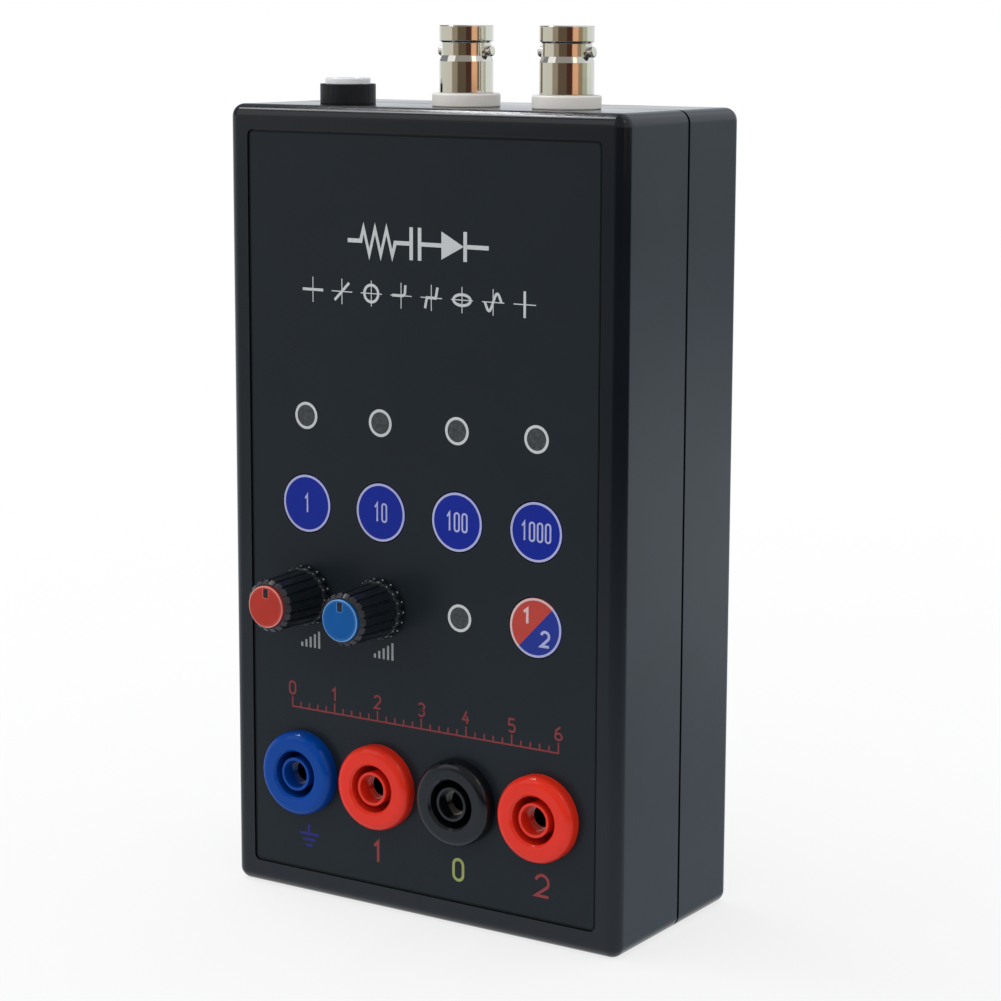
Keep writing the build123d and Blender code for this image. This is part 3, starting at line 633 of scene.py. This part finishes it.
def makeKnob(side, capRadius):
    look = knobLook
    centre, _, front, rear = frontSpan(side + "_knob")
    collar, edge, inner, bore = look.collar, look.edge, look.rimInner, look.shaftBore
    collarTop = rear + look.collarHeight
    narrow = math.tan(math.radians(look.taper))

    def bodyRadius(height):
        return look.base - (height - rear) * narrow

    def ribbed(radius, height, angle):
        if radius < inner + 0.05:
            return radius
        wave = 0.5 - 0.5 * math.cos(look.ribs * angle)
        groove = smoothStep(look.grooveFrom, look.grooveTo, wave)
        if height <= collarTop + 0.01:
            return radius - look.toothDepth * groove
        fade = smoothStep(collarTop, collarTop + look.runOut, height)
        rimFade = smoothStep(inner, inner + look.rimFade, radius)
        deep = look.footGroove + (1 - look.footGroove) * fade
        return radius - look.grooveDepth * deep * groove * rimFade

    slope = look.rimSlope / (look.base - inner)
    shoulder = bodyRadius(front)
    sideTop = front - (shoulder - inner) * slope
    sideFoot = collarTop + 0.35
    ribFoot = bodyRadius(collarTop) + look.ribEnd / 2
    wall = []
    for i in range(look.sideRings + 1):
        height = sideFoot + (sideTop - 0.2 - sideFoot) * i / look.sideRings
        wall.append((bodyRadius(height), height, 0))
    seatRadius = capRadius + look.capGap
    bm = turned([
        (bore, rear, edge), (collar - 0.1, rear, edge), (collar, rear + 0.25, edge),
        (collar, collarTop - 0.45, edge), (collar - 0.12, collarTop, 0.08),
        (ribFoot, collarTop + 0.05, 0.03), (ribFoot, collarTop + 0.25, 0.05), *wall,
        (shoulder + 0.01, sideTop, 0.06), (inner + 0.45, front - 0.45 * slope, 0),
        (inner + 0.06, front, 0.05), (seatRadius, front - 0.05, 0), (seatRadius, front - look.seat, 0),
        (0, front - look.seat, 0), (0, front - look.web, 0), (bore, front - look.web, 0),
    ], 3, look.ribs * 20, True, ribbed)
    place = onFront(centre.x, centre.z)
    body = side + "_knob_body"
    piece = finishPiece(body, bm, place, knobBlack, body, side + "_knob", 38)
    paintRimHighlight(piece, knobRimSheen, centre, capRadius, sideTop - 0.02)

    # painted glints: pale pips at the foot of each rib stand in for the highlights on the rib ends
    bm = bmesh.new()
    for i in range(look.ribs):
        angle = 2 * math.pi * i / look.ribs
        for reach, height, size in ((collar - 0.06, rear + 0.24, look.tip),
                                    (ribFoot + 0.03, collarTop + 0.12, look.innerTip)):
            spot = Matrix.Translation((reach * math.cos(angle), reach * math.sin(angle), height))
            bmesh.ops.create_icosphere(bm, subdivisions=2, radius=size, matrix=spot)
    finishPiece(side + "_rib_glints", bm, place, knobGlintTips, body)


def makeCap(side, material, lipHighlight):
    # a shallow dish whose lip carries a painted highlight in a lighter colour; the knob's own rib shows
    # through its window
    look = capLook
    _, radius, front, rear = frontSpan(side + "_knob_cap")
    makeKnob(side, radius)
    centre = middleOf(side + "_knob")
    place = onFront(centre.x, centre.z)
    body = side + "_knob_body"
    lip, dish = look.lip, look.dish
    bm = turned([
        (0, rear, 0), (radius, rear, 0.05), (radius, front, look.edge),
        (radius - lip - 0.2, front - 0.01, 0.06), (radius - lip - 0.35, front - dish, 0.1),
        (0, front - dish, 0),
    ], 4, closed=False)
    cap = finishPiece(side + "_cap_disc", bm, place, material, body, side + "_knob_cap", 38)
    middle = radius - look.pointerInset - look.pointerLength / 2
    bm = bmesh.new()
    addBlock(bm, (0, middle, (rear + front) / 2),
             (look.pointerWidth, look.pointerLength, front - rear + 2), look.pointerEdge)
    cutOut(cap, bm, place)
    paintRimHighlight(cap, lipHighlight, centre, radius - lip, front - look.edge * 0.8)

    bm = bmesh.new()
    ribTop = front - dish - look.pointerDrop
    gap = 2 * look.pointerGap
    addBlock(bm, (0, middle, (rear + ribTop) / 2),
             (look.pointerWidth - gap, look.pointerLength - gap, ribTop - rear), look.pointerEdge)
    addBlock(bm, (0, middle, ribTop),
             (look.ridgeWidth, look.pointerLength - look.ridgeShort, look.ridgeTall),
             look.ridgeEdge)
    finishPiece(side + "_pointer_rib", bm, place, knobBlack, body)


makeCap("left", capRed, capRedLipHighlight)
makeCap("right", capBlue, capBlueLipHighlight)
print("knobs made")


# bayonet jacks: heights are above the top of the case

jackLook = Values(
    bore=4.05, floor=5.0, rimEdge=0.2, neck=4.42, neckLow=8.0, neckSlope=1.0, neckHigh=11.6, neckStep=0.3,
    seat=2.4, thread=4.3, insulatorBore=2.53, lugRadius=0.95, lugHeight=9.8, lugEdge=0.28, lugRoot=0.6,
    threadPitch=0.8, threadDepth=0.12, threadFoot=0.4, threadEnds=3.6,
)


def makeJack(side):
    look = jackLook
    node = side + "_bayonet_jack"
    centre, lugReach, foot, top = topSpan(node)
    low, high = boxOf(node)
    barrel = (high.y - low.y) / 2
    outer, neck, hole, pitch = look.thread, look.neck, look.insulatorBore, look.threadPitch
    thread = []
    for i in range(int((look.seat - look.threadEnds - foot) / pitch)):
        base = foot + look.threadFoot + i * pitch
        thread.append((outer, base, 0))
        thread.append((outer - look.threadDepth, base + pitch / 2, 0))
    bm = turned([
        (hole, foot, 0), (outer - 0.2, foot, 0), *thread, (outer, look.seat, 0), (barrel, look.seat, 0.1),
        (barrel, look.neckLow, 0.2), (neck, look.neckLow + look.neckSlope, 0.35),
        (neck, look.neckHigh - look.neckStep, 0.1), (barrel, look.neckHigh, 0.08),
        (barrel, top, look.rimEdge), (look.bore, top, look.rimEdge), (look.bore, look.floor, 0.1),
        (hole, look.floor, 0),
    ], 5, 128)
    root = barrel - look.lugRoot
    for direction in (-1, 1):
        lug = turned([
            (0, root, 0), (look.lugRadius, root, 0), (look.lugRadius, lugReach, look.lugEdge),
            (0, lugReach, 0),
        ], 5, 40, closed=False)
        lean = Matrix.Rotation(direction * math.pi / 2, 4, "Y")
        joinInto(bm, lug, Matrix.Translation((0, 0, look.lugHeight)) @ lean)
    finishPiece(node + "_shell", bm, onTop(centre.x, centre.y), nickel, "case", node)
    return centre


jackPlaces = [makeJack("left"), makeJack("right")]

washerLook = Values(
    height=2.4, edge=0.35, bore=4.36, shoulder=5.2, wall=2.4, radius=6.1, foot=0.25, boreEdge=0.1,
)


def makeWashers():
    look = washerLook
    bm = bmesh.new()
    for place in jackPlaces:
        washer = turned([
            (look.bore, -look.wall, look.boreEdge), (look.shoulder, -look.wall, look.boreEdge),
            (look.shoulder, 0, 0), (look.radius, 0, look.foot), (look.radius, look.height, look.edge),
            (look.bore, look.height, look.boreEdge),
        ], 5)
        joinInto(bm, washer, onTop(place.x, place.y))
    finishPiece("jack_washers", bm, Matrix.Identity(4), nylon, "case", "bayonet_washers")


makeWashers()


# the power inlet: ring nut, barrel, a lip painted near-white as a painted reflection of its shine, and centre
# pin

inletLook = Values(
    grips=24, gripDepth=0.05, gripEnds=0.3, gripFrom=0.9, gripTo=1.0, ringEdge=0.14, ringBore=4.2,
    ringStep=0.32, barrel=4.15, lip=0.32, lipHeight=0.6, bore=3.1, boreDepth=8.5, wall=2.4, flange=1.5,
    housingInset=0.4, edge=0.1,
)


def makeInlet():
    look = inletLook
    centre, outer, _, height = topSpan("inlet_ring_nut")
    place = onTop(centre.x, centre.y)
    edge, step = look.edge, look.ringStep

    def gripped(radius, level, angle):
        if radius < outer - 0.02 or not look.gripEnds < level < height - look.gripEnds:
            return radius
        wave = 0.5 - 0.5 * math.cos(look.grips * angle)
        return radius - look.gripDepth * smoothStep(look.gripFrom, look.gripTo, wave)

    bm = turned([
        (look.ringBore, 0, 0), (outer, 0, 0.08), (outer, step, 0), (outer, height - step, 0),
        (outer, height, look.ringEdge), (look.ringBore, height, edge),
    ], 4, look.grips * 12, True, gripped)
    finishPiece("inlet_ring", bm, place, dullBlack, "case", "inlet_ring_nut", 40)

    _, body, foot, top = topSpan("inlet_housing")
    inset = body - look.housingInset
    barrel, bore, lip, wall = look.barrel, look.bore, look.lip, look.wall
    lipFoot = height - look.lipHeight
    flangeFoot = -wall - look.flange
    bm = turned([
        (0, foot, 0), (inset, foot, 0.3), (inset, flangeFoot, 0), (body, flangeFoot, edge),
        (body, -wall, edge), (barrel, -wall, 0), (barrel, lipFoot, 0), (bore, lipFoot, 0),
        (bore, -look.boreDepth, edge), (0, -look.boreDepth, 0),
    ], closed=False)
    finishPiece("inlet_barrel", bm, place, blackGloss, "case", "inlet_housing", 40)
    # the lip is painted near-white, a painted reflection of its shine
    bm = turned([(barrel, lipFoot, 0), (barrel, top, lip), (bore, top, lip), (bore, lipFoot, 0)], 8)
    finishPiece("inlet_lip", bm, place, lipGlint, "case", sharp=50)

    _, radius, foot, top = topSpan("inlet_pin")
    bm = turned([
        (0, foot, 0), (radius, foot, 0), (radius, top, radius * 0.7), (0, top, 0),
    ], 8, 48, closed=False)
    finishPiece("inlet_centre_pin", bm, place, nickel, "case", "inlet_pin")


makeInlet()
print("connectors made")


# case screws in the back, with a cross slot

screwLook = Values(
    head=2.8, shank=1.45, point=0.8, headHeight=2.1, dome=0.5, edge=0.25, slotLength=3.4, slotWidth=0.72,
    slotDepth=1.2, slotEdge=0.1,
)


def makeScrews():
    look = screwLook
    low, high = boxOf("case_screws")
    head, crown, shank = look.head, look.headHeight, look.shank
    long, wide = look.slotLength, look.slotWidth
    tip = -(high.y - low.y - crown)
    screws, slots = bmesh.new(), bmesh.new()
    for x in (low.x + head, high.x - head):
        for z in (low.z + head, high.z - head):
            screw = turned([
                (0, tip, 0), (shank, tip + look.point, 0.2), (shank, 0, 0), (head, 0, 0.1),
                (head, crown - look.dome, look.edge), (head * 0.55, crown - 0.06, 0.9), (0, crown, 0),
            ], 5, 64, closed=False)
            joinInto(screws, screw, onBack(x, high.y - crown, z))
            for across, up in ((long, wide), (wide, long)):
                addBlock(slots, (x, high.y, z), (across, 2 * look.slotDepth, up), look.slotEdge)
    still = Matrix.Identity(4)
    piece = finishPiece("rear_case_screws", screws, still, zinc, "case", "case_screws")
    cutOut(piece, slots, still, True)


makeScrews()
print("case screws made")


# printed marks: flat faces in the local xy plane become a thin layer of ink

inkLook = Values(height=0.02, layer=0.005, mitre=0.35)


def printFaces(name, bm, place, colour, body="case"):
    made = bmesh.ops.extrude_face_region(bm, geom=bm.faces[:])
    moved = [part for part in made["geom"] if isinstance(part, bmesh.types.BMVert)]
    bmesh.ops.translate(bm, verts=moved, vec=(0, 0, inkLook.height))
    finishPiece(name, bm, place, inks[colour], body, sharp=50)


def addArc(bm, outer, inner, segments=96, start=0, end=360):
    # a flat ring, or a part of one
    closed = end - start == 360
    rows = []
    for i in range(segments if closed else segments + 1):
        angle = math.radians(start + (end - start) * i / segments)
        rows.append([bm.verts.new((radius * math.cos(angle), radius * math.sin(angle), 0))
                     for radius in (outer, inner)])
    for last, coming in zip(rows, rows[1:] + rows[:1] if closed else rows[1:]):
        bm.faces.new((last[0], coming[0], coming[1], last[1]))


def addStroke(bm, points, width, closed=False, layer=0):
    # a ribbon of even width with mitred corners; a higher layer lies a hair above a lower one
    level = layer * inkLook.layer
    points = [Vector(p) for p in points]
    count = len(points)
    left, right = [], []
    for i, here in enumerate(points):
        last = points[i - 1] if i > 0 or closed else None
        coming = points[(i + 1) % count] if i < count - 1 or closed else None
        before = (here - last).normalized() if last is not None else (coming - here).normalized()
        after = (coming - here).normalized() if coming is not None else before
        across = Vector((-(before + after).y, (before + after).x)).normalized()
        stretch = 1 / max(across.dot(Vector((-after.y, after.x))), inkLook.mitre)
        left.append(bm.verts.new((*(here + across * width / 2 * stretch), level)))
        right.append(bm.verts.new((*(here - across * width / 2 * stretch), level)))
    for i in range(count if closed else count - 1):
        j = (i + 1) % count
        bm.faces.new((left[i], right[i], right[j], left[j]))


def bow(x, y, wide, tall, start, end, steps=14):
    points = []
    for i in range(steps + 1):
        angle = math.radians(start + (end - start) * i / steps)
        points.append((x + wide * math.cos(angle), y + tall * math.sin(angle)))
    return points


def addFigure(bm, figure, width, height, stroke, x=0.0, y=0.0):
    # figures 0 to 6 as strokes of even width
    side, top = (width - stroke) / 2, (height - stroke) / 2
    half = top / 2
    shapes = {
        "0": [bow(0, top - side, side, side, 0, 180) + bow(0, side - top, side, side, 180, 360)],
        "1": [[(-side * 0.8, top * 0.55), (0.1, top), (0.1, -top)]],
        "2": [bow(0, top - side, side, side, 165, -35) + [(-side, -top), (side, -top)]],
        "3": [bow(0, half, side, half, 150, -85) + bow(0, -half, side, half, 85, -150)],
        "4": [[(side * 0.25, top), (-side, -top * 0.35), (side, -top * 0.35)],
              [(side * 0.35, top * 0.25), (side * 0.35, -top)]],
        "5": [[(side * 0.9, top), (-side * 0.8, top), (-side * 0.9, top * 0.1)]
              + bow(0, -half * 0.86, side, half * 1.14, 120, -150)],
        "6": [bow(0, -half, side, half, 180, 540, 28)[:-1],
              [(-side, -half), (-side * 0.75, half * 0.9), (side * 0.6, top)]],
    }
    for layer, points in enumerate(shapes[figure]):
        closed = figure == "0" or (figure == "6" and layer == 0)
        addStroke(bm, [(px + x, py + y) for px, py in points], stroke, closed, layer)


# rings about the lamps and keys, and the figures on the keys

ringLook = Values(lampOuter=2.5, lampInner=1.98, keyOuter=5.3, keyInner=4.88, split=46.0)
keyLook = Values(width=1.3, height=3.6, stroke=0.34, pitch=1.65)
channelLook = Values(
    height=3.1, width=2.1, stroke=0.5,
    halves=(("upper", 0, "pink", "1", (-1.8, 1.9)), ("lower", 180, "lavender", "2", (2.0, -1.8))),
)


def findLamps(apart=6):
    # middles of the five round windows, from their own meshes
    groups = []
    for vertex in nodes["indicator_windows"].data.vertices:
        spot = Vector((vertex.co.x, vertex.co.z)) / mm
        near = [group for group in groups if (group[0] - spot).length < apart]
        if near:
            near[0].append(spot)
        else:
            groups.append([spot])
    middles = []
    for group in groups:
        xs, zs = [spot.x for spot in group], [spot.y for spot in group]
        middles.append(Vector(((min(xs) + max(xs)) / 2, (min(zs) + max(zs)) / 2)))
    return middles


def onKey(node):
    spot = middleOf(node)
    return onFront(spot.x, spot.z, filmFace - boxOf(node)[0].y)


def markKeys():
    for number, spot in enumerate(findLamps(), 1):
        bm = bmesh.new()
        addArc(bm, ringLook.lampOuter, ringLook.lampInner)
        printFaces(f"lamp_ring_{number}", bm, onFront(spot.x, spot.y), "ring")
    look = keyLook
    for power, node in enumerate(rangeKeys):
        ring, figures = bmesh.new(), bmesh.new()
        addArc(ring, ringLook.keyOuter, ringLook.keyInner)
        text = str(10 ** power)
        start = -look.pitch * (len(text) - 1) / 2
        for i, figure in enumerate(text):
            addFigure(figures, figure, look.width, look.height, look.stroke,
                      start + i * look.pitch)
        for name, bm in (("ring", ring), ("figure", figures)):
            printFaces(f"{node}_{name}", bm, onKey(node), "lavender", node + "_body")
    look = channelLook
    for name, turn, colour, figure, centre in look.halves:
        ring, number = bmesh.new(), bmesh.new()
        start = ringLook.split + turn
        addArc(ring, ringLook.keyOuter, ringLook.keyInner, 48, start, start + 180)
        addFigure(number, figure, look.width, look.height, look.stroke, *centre)
        for kind, bm in (("ring", ring), ("figure", number)):
            printFaces(f"channel_{kind}_{name}", bm, onKey("channel_button"), colour,
                       "channel_button_body")


markKeys()


# a row of circuit symbols: resistor, capacitor and diode on one wire

symbolLook = Values(
    place=(-0.2, 123.3), half=15.1, stroke=0.75, tall=2.9, resistor=(-12.2, -4.7), zigzag=(-11.6, 1.25),
    zigzagTall=0.8, capacitor=(-1.6, 0.93), plates=(-1.25, 0.55), diode=(5.2, 9.9), diodeTall=0.85,
    bar=10.2, barTall=0.9, barEnd=10.55,
)


def makeSymbolRow():
    look = symbolLook
    half, tall, bar = look.half, look.tall, look.bar
    (wireEnd, wireStart), (first, pitch) = look.resistor, look.zigzag
    (plateEnd, plateStart), (foot, tip) = look.capacitor, look.diode
    peak, flank, barReach = (tall * look[key] for key in ("zigzagTall", "diodeTall", "barTall"))
    bm = bmesh.new()
    zigzag = [(first + i * pitch, -peak if i % 2 else peak) for i in range(6)]
    strokes = [[(-half, 0), (wireEnd, 0), *zigzag, (wireStart, 0), (plateEnd, 0)]]
    strokes += [[(x, -tall), (x, tall)] for x in look.plates]
    strokes += [[(plateStart, 0), (foot, 0)], [(bar, -barReach), (bar, barReach)],
                [(look.barEnd, 0), (half, 0)]]
    for points in strokes:
        addStroke(bm, points, look.stroke)
    bm.faces.new([bm.verts.new((x, y, 0)) for x, y in ((foot, -flank), (tip, 0), (foot, flank))])
    printFaces("symbol_row", bm, onFront(*look.place), "white")


# small sketches of the traces that parts draw, each on its own thin axes

traceLook = Values(place=(-0.4, 114.0), pitch=6.5, half=1.9, stroke=0.5, axis=0.18, axisHalf=2.3)


def makeTraceRow():
    look = traceLook
    half, reach = look.half, look.axisHalf
    level, upright = [(-reach, 0), (reach, 0)], [(0, -reach), (0, reach)]
    traces = [
        level,
        [(-half * 0.85, -half * 0.85), (half * 0.85, half * 0.85)],
        bow(0, 0, half * 0.8, half * 0.8, 0, 360, 28)[:-1],
        [(-half, 0), (half * 0.1, 0)] + bow(half * 0.1, half * 0.35, half * 0.35, half * 0.35, -70, 0, 6)
        + [(half * 0.5, half)],
        [(-half * 0.7, -half), (-half * 0.5, 0), (half * 0.5, 0), (half * 0.7, half)],
        bow(0, 0, half * 0.95, half * 0.5, 0, 360, 28)[:-1],
        [(-half * 0.9 + half * 0.09 * i, half * 0.8 * math.sin(math.pi * (i - 10) / 10))
         for i in range(21)],
        upright,
    ]
    bm = bmesh.new()
    for i, points in enumerate(traces):
        x = (i - (len(traces) - 1) / 2) * look.pitch
        addStroke(bm, [(p[0] + x, p[1]) for p in points], look.stroke, len(points) == 28, 2)
        for layer, ends in enumerate((level, upright)):
            addStroke(bm, [(x + p[0], p[1]) for p in ends], look.axis, layer=layer)
    printFaces("trace_row", bm, onFront(*look.place), "white")


# growing bars under the two knobs

barLook = Values(count=5, pitch=0.98, width=0.46, low=0.8, high=3.2, height=49.1, right=0.6)


def makeBars(number, node):
    look = barLook
    foot = -look.high / 2
    bm = bmesh.new()
    for i in range(look.count):
        x = (i - (look.count - 1) / 2) * look.pitch
        tall = look.low + (look.high - look.low) * i / (look.count - 1)
        addStroke(bm, [(x, foot), (x, tall + foot)], look.width)
    place = onFront(middleOf(node).x + look.right, look.height)
    printFaces(f"level_bars_{number}", bm, place, "grey")


# a dull red scale above the four sockets

scaleLook = Values(
    left=-28.6, right=29.8, base=35.7, line=0.3, divisions=6, parts=5, tall=1.9, short=1.1, figure=2.7,
    figureWidth=1.7, stroke=0.36, figureRise=3.55,
)


def makeScale():
    look = scaleLook
    middle = (look.left + look.right) / 2
    half = (look.right - look.left) / 2
    line, parts = look.line, look.parts
    bm = bmesh.new()
    addStroke(bm, [(-half - line / 2, 0), (half + line / 2, 0)], line, layer=1)
    count = look.divisions * parts
    for i in range(count + 1):
        x = -half + 2 * half * i / count
        main = i % parts == 0
        addStroke(bm, [(x, 0), (x, look.tall if main else look.short)], line)
        if main:
            addFigure(bm, str(i // parts), look.figureWidth, look.figure, look.stroke,
                      x, look.figureRise)
    printFaces("socket_scale", bm, onFront(middle, look.base), "dullRed")


# painted shade: a dark ink line along the edge of the film, where the gap about the film lies in shade

grooveShadeLook = Values(width=0.24, inset=0.14, radius=0.9)


def makeGrooveShade():
    look = grooveShadeLook
    low, high = boxOf("panel_film")
    wide = (high.x - low.x) / 2 - look.inset
    tall = (high.z - low.z) / 2 - look.inset
    centre = (low + high) / 2
    corners = [(-wide, -tall), (wide, -tall), (wide, tall), (-wide, tall)]
    bm = bmesh.new()
    addStroke(bm, roundCorners([(*corner, look.radius) for corner in corners]), look.width, True)
    printFaces("film_groove_shade", bm, onFront(centre.x, centre.z), "black")


# marks under the sockets: earth sign, 1, 0, 2

markLook = Values(
    height=4.4, stroke=0.55, earthPlace=(-25.0, 11.3), earthStem=(2.2, 0.3),
    earthBars=((2.3, 0.3), (1.5, -0.8), (0.7, -1.9)),
    figures=(
        ("mark_one", "1", -9.2, 12.6, 2.4, "red"), ("mark_zero", "0", 8.7, 12.8, 2.6, "lime"),
        ("mark_two", "2", 26.6, 12.5, 3.2, "red"),
    ),
)


def makeMarks():
    look = markLook
    bm = bmesh.new()
    addStroke(bm, [(0, level) for level in look.earthStem], look.stroke, layer=1)
    for width, level in look.earthBars:
        addStroke(bm, [(-width, level), (width, level)], look.stroke)
    printFaces("earth_mark", bm, onFront(*look.earthPlace), "blue")
    level = middleOf("blue_socket").z
    for name, figure, x, drop, width, colour in look.figures:
        bm = bmesh.new()
        addFigure(bm, figure, width, look.height, look.stroke)
        printFaces(name, bm, onFront(x, level - drop), colour)


makeSymbolRow()
makeTraceRow()
makeBars(1, "left_knob")
makeBars(2, "right_knob")
makeScale()
makeGrooveShade()
makeMarks()
print("marks printed")


# floor and fill light

studioLook = Values(
    floorColour=(238, 239, 241), floorRings=(0.0, 0.12, 0.3, 0.6, 1.2, 2.4), fadeFrom=0.13, fadeTo=0.42,
    floorLift=0.74, fill=0.85,
)
white = (1, 1, 1, 1)


def watchedMask(tree):
    # where the camera, a reflection or a clear part looks at the surface
    rays = addNode(tree, "LightPath").outputs
    watched = addMath(tree, "MAXIMUM", rays["Is Camera Ray"], rays["Is Glossy Ray"])
    return addMath(tree, "MAXIMUM", watched, rays["Is Transmission Ray"])


def makeFloor():
    look = studioLook
    bm = bmesh.new()
    turnProfile(bm, [(radius, 0) for radius in look.floorRings], closed=False)
    floor = newObject("floor", newMesh("floor", bm))
    material, tree = startMaterial("floorPaper")
    away = addVector(tree, "LENGTH", objectSpot(tree))["Value"]
    fade = addRange(tree, away, look.fadeFrom, look.fadeTo, look.floorLift, 1.0)
    share = addMath(tree, "MULTIPLY", fade, watchedMask(tree))
    paper = addNode(tree, "BsdfDiffuse", {"Color": srgb(*look.floorColour)})
    glow = addNode(tree, "Emission", {"Color": white, "Strength": 1.0})
    finishMaterial(tree, addNode(tree, "MixShader", {0: share, 1: paper.outputs[0], 2: glow.outputs[0]}))
    floor.data.materials.append(material)


def makeWorld():
    world = bpy.data.worlds.new("studio")
    bpy.context.scene.world = world
    world.use_nodes = True
    tree = world.node_tree
    tree.nodes.clear()
    soft, clear = (addNode(tree, "Background", {"Color": white, "Strength": strength}).outputs[0]
                   for strength in (studioLook.fill, 1.0))
    finishMaterial(tree, addNode(tree, "MixShader", {0: watchedMask(tree), 1: soft, 2: clear}), "World")


# lamps: place in metres, size, watts; "along" is the direction of a long lamp

lampLook = dict(
    keyBox=dict(place=(-0.57, -0.19, 0.94), size=0.22, power=1.06),
    frontBox=dict(place=(-0.57, -0.66, 0.6), size=0.6, power=0.9),
    backBox=dict(place=(0.13, 0.17, 0.03), size=0.1, power=0.026, colour=(0.9, 0.96, 1.0)),
    tube=dict(place=(-0.517, 0.123, 0.929), size=0.55, sizeY=0.018, power=1.55,
             along=(0.038, -0.544, 0.114)),
    warmLamp=dict(place=(0.65, -0.21, 0.8), size=0.24, power=0.3, colour=(1.0, 0.72, 0.34)),
)
lampAim = (0, 0, 0.08)


def addLamp(name, place, size, power, sizeY=None, along=(1, 0, 0), colour=(1, 1, 1)):
    light = bpy.data.lights.new(name, "AREA")
    light.shape = "RECTANGLE"
    light.size = size
    light.size_y = sizeY or size
    light.energy = power
    light.color = colour
    lamp = newObject(name, light)
    away = (Vector(place) - Vector(lampAim)).normalized()
    along = Vector(along)
    along = (along - away * along.dot(away)).normalized()
    turn = Matrix((along, away.cross(along), away)).transposed().to_4x4()
    lamp.matrix_world = Matrix.Translation(place) @ turn
    lamp.visible_camera = False


# the room that shiny surfaces show, a glowing stand-in that paints their reflections: tones by direction, in
# degrees to the right of straight ahead

roomLook = Values(
    floorLevel=0.0015, floorRings=(0, 0.15, 0.5, 1.1), wallRings=(0.45, 1.35),
    wallFrom=(0.109, 0.116), upperFrom=(0.24, 0.34),
    near=0.08, far=0.6, fall=1.6, nearTone=(212, 222, 232),
    floor=Values(soft=5, start=(225, 230, 236), bands=(
        (-60, (190, 196, 200)), (-36, (142, 148, 156)), (-13, (66, 68, 72)), (132, (158, 168, 180)),
    )),
    wall=Values(soft=2, start=(245, 248, 252), bands=(
        (-107, (212, 218, 207)), (-62, (216, 214, 206)), (-29, (156, 146, 128)), (-4, (100, 86, 70)),
        (32, (76, 50, 42)), (56, (238, 184, 144)), (80, (160, 140, 114)), (100, (184, 192, 172)),
        (124, (230, 240, 234)), (159, (236, 240, 248)),
    )),
    upper=Values(soft=6, start=(196, 203, 212), bands=(
        (-142, (136, 141, 147)), (-30, (160, 158, 154)), (60, (214, 218, 224)), (120, (236, 243, 252)),
    )),
)


def addBands(tree, share, look):
    ramp = addNode(tree, "ValToRGB", {0: share})
    stops = ramp.color_ramp.elements
    colour = look.start
    stops[0].position, stops[0].color = 0.0, srgb(*colour)
    for angle, coming in look.bands:
        for turn, tone in ((-look.soft, colour), (look.soft, coming)):
            stops.new((angle + turn) / 360 + 0.5).color = srgb(*tone)
        colour = coming
    stops[len(stops) - 1].color = srgb(*colour)
    return ramp.outputs[0]


def makeRoom():
    look = roomLook
    bm = bmesh.new()
    radius, level = look.floorRings[-1], look.wallRings[-1]
    profile = [(reach, look.floorLevel) for reach in look.floorRings]
    profile += [(radius, height) for height in look.wallRings]
    turnProfile(bm, [*profile, (0, level)], closed=False)
    room = newObject("room", newMesh("room", bm))
    material, tree = startMaterial("roomWalls")
    x, y, z = addNode(tree, "SeparateXYZ", {0: objectSpot(tree)}).outputs
    turn = addMath(tree, "ARCTAN2", x, addMath(tree, "MULTIPLY", y, -1.0))
    share = addMath(tree, "MULTIPLY_ADD", turn, 0.5 / math.pi, 0.5)
    away = addVector(tree, "LENGTH", addNode(tree, "CombineXYZ", {0: x, 1: y}).outputs[0])["Value"]
    # painted light: a brighter pool on the room's floor close to the case
    near = addRange(tree, away, look.near, look.far, 1.0, 0.0)
    pool = addMath(tree, "POWER", near, look.fall)
    shown = blendColours(tree, pool, addBands(tree, share, look.floor), srgb(*look.nearTone))
    for name in ("wall", "upper"):
        mask = addRange(tree, z, *look[name + "From"])
        shown = blendColours(tree, mask, shown, addBands(tree, share, look[name]))
    finishMaterial(tree, addNode(tree, "Emission", {"Color": shown, "Strength": 1.0}))
    material.cycles.emission_sampling = "NONE"
    room.data.materials.append(material)
    for ray in ("camera", "diffuse", "shadow", "transmission"):
        setattr(room, "visible_" + ray, False)


# the camera: metres, degrees and millimetres of lens

cameraLook = Values(
    place=(0.27035, -0.40688, 0.16302), yaw=33.17, pitch=-9.186, roll=0.21, lens=96.674, sensor=36.0,
    shiftX=0.0, shiftY=-0.0504, nearest=0.01,
)


def makeCamera():
    look = cameraLook
    yaw, pitch, roll = (math.radians(look[key]) for key in ("yaw", "pitch", "roll"))
    data = bpy.data.cameras.new("camera")
    data.lens = look.lens
    data.sensor_width = look.sensor
    data.shift_x = look.shiftX
    data.shift_y = look.shiftY
    data.clip_start = look.nearest
    camera = newObject("camera", data)
    turn = Euler((math.pi / 2 + pitch, 0, yaw)).to_matrix() @ Matrix.Rotation(roll, 3, "Z")
    camera.matrix_world = Matrix.Translation(look.place) @ turn.to_4x4()
    bpy.context.scene.camera = camera


makeFloor()
makeWorld()
for name, look in lampLook.items():
    addLamp(name, **look)
bpy.data.objects["warmLamp"].visible_diffuse = False
makeRoom()
makeCamera()
bpy.context.scene.view_settings.view_transform = "Standard"
print("studio set")
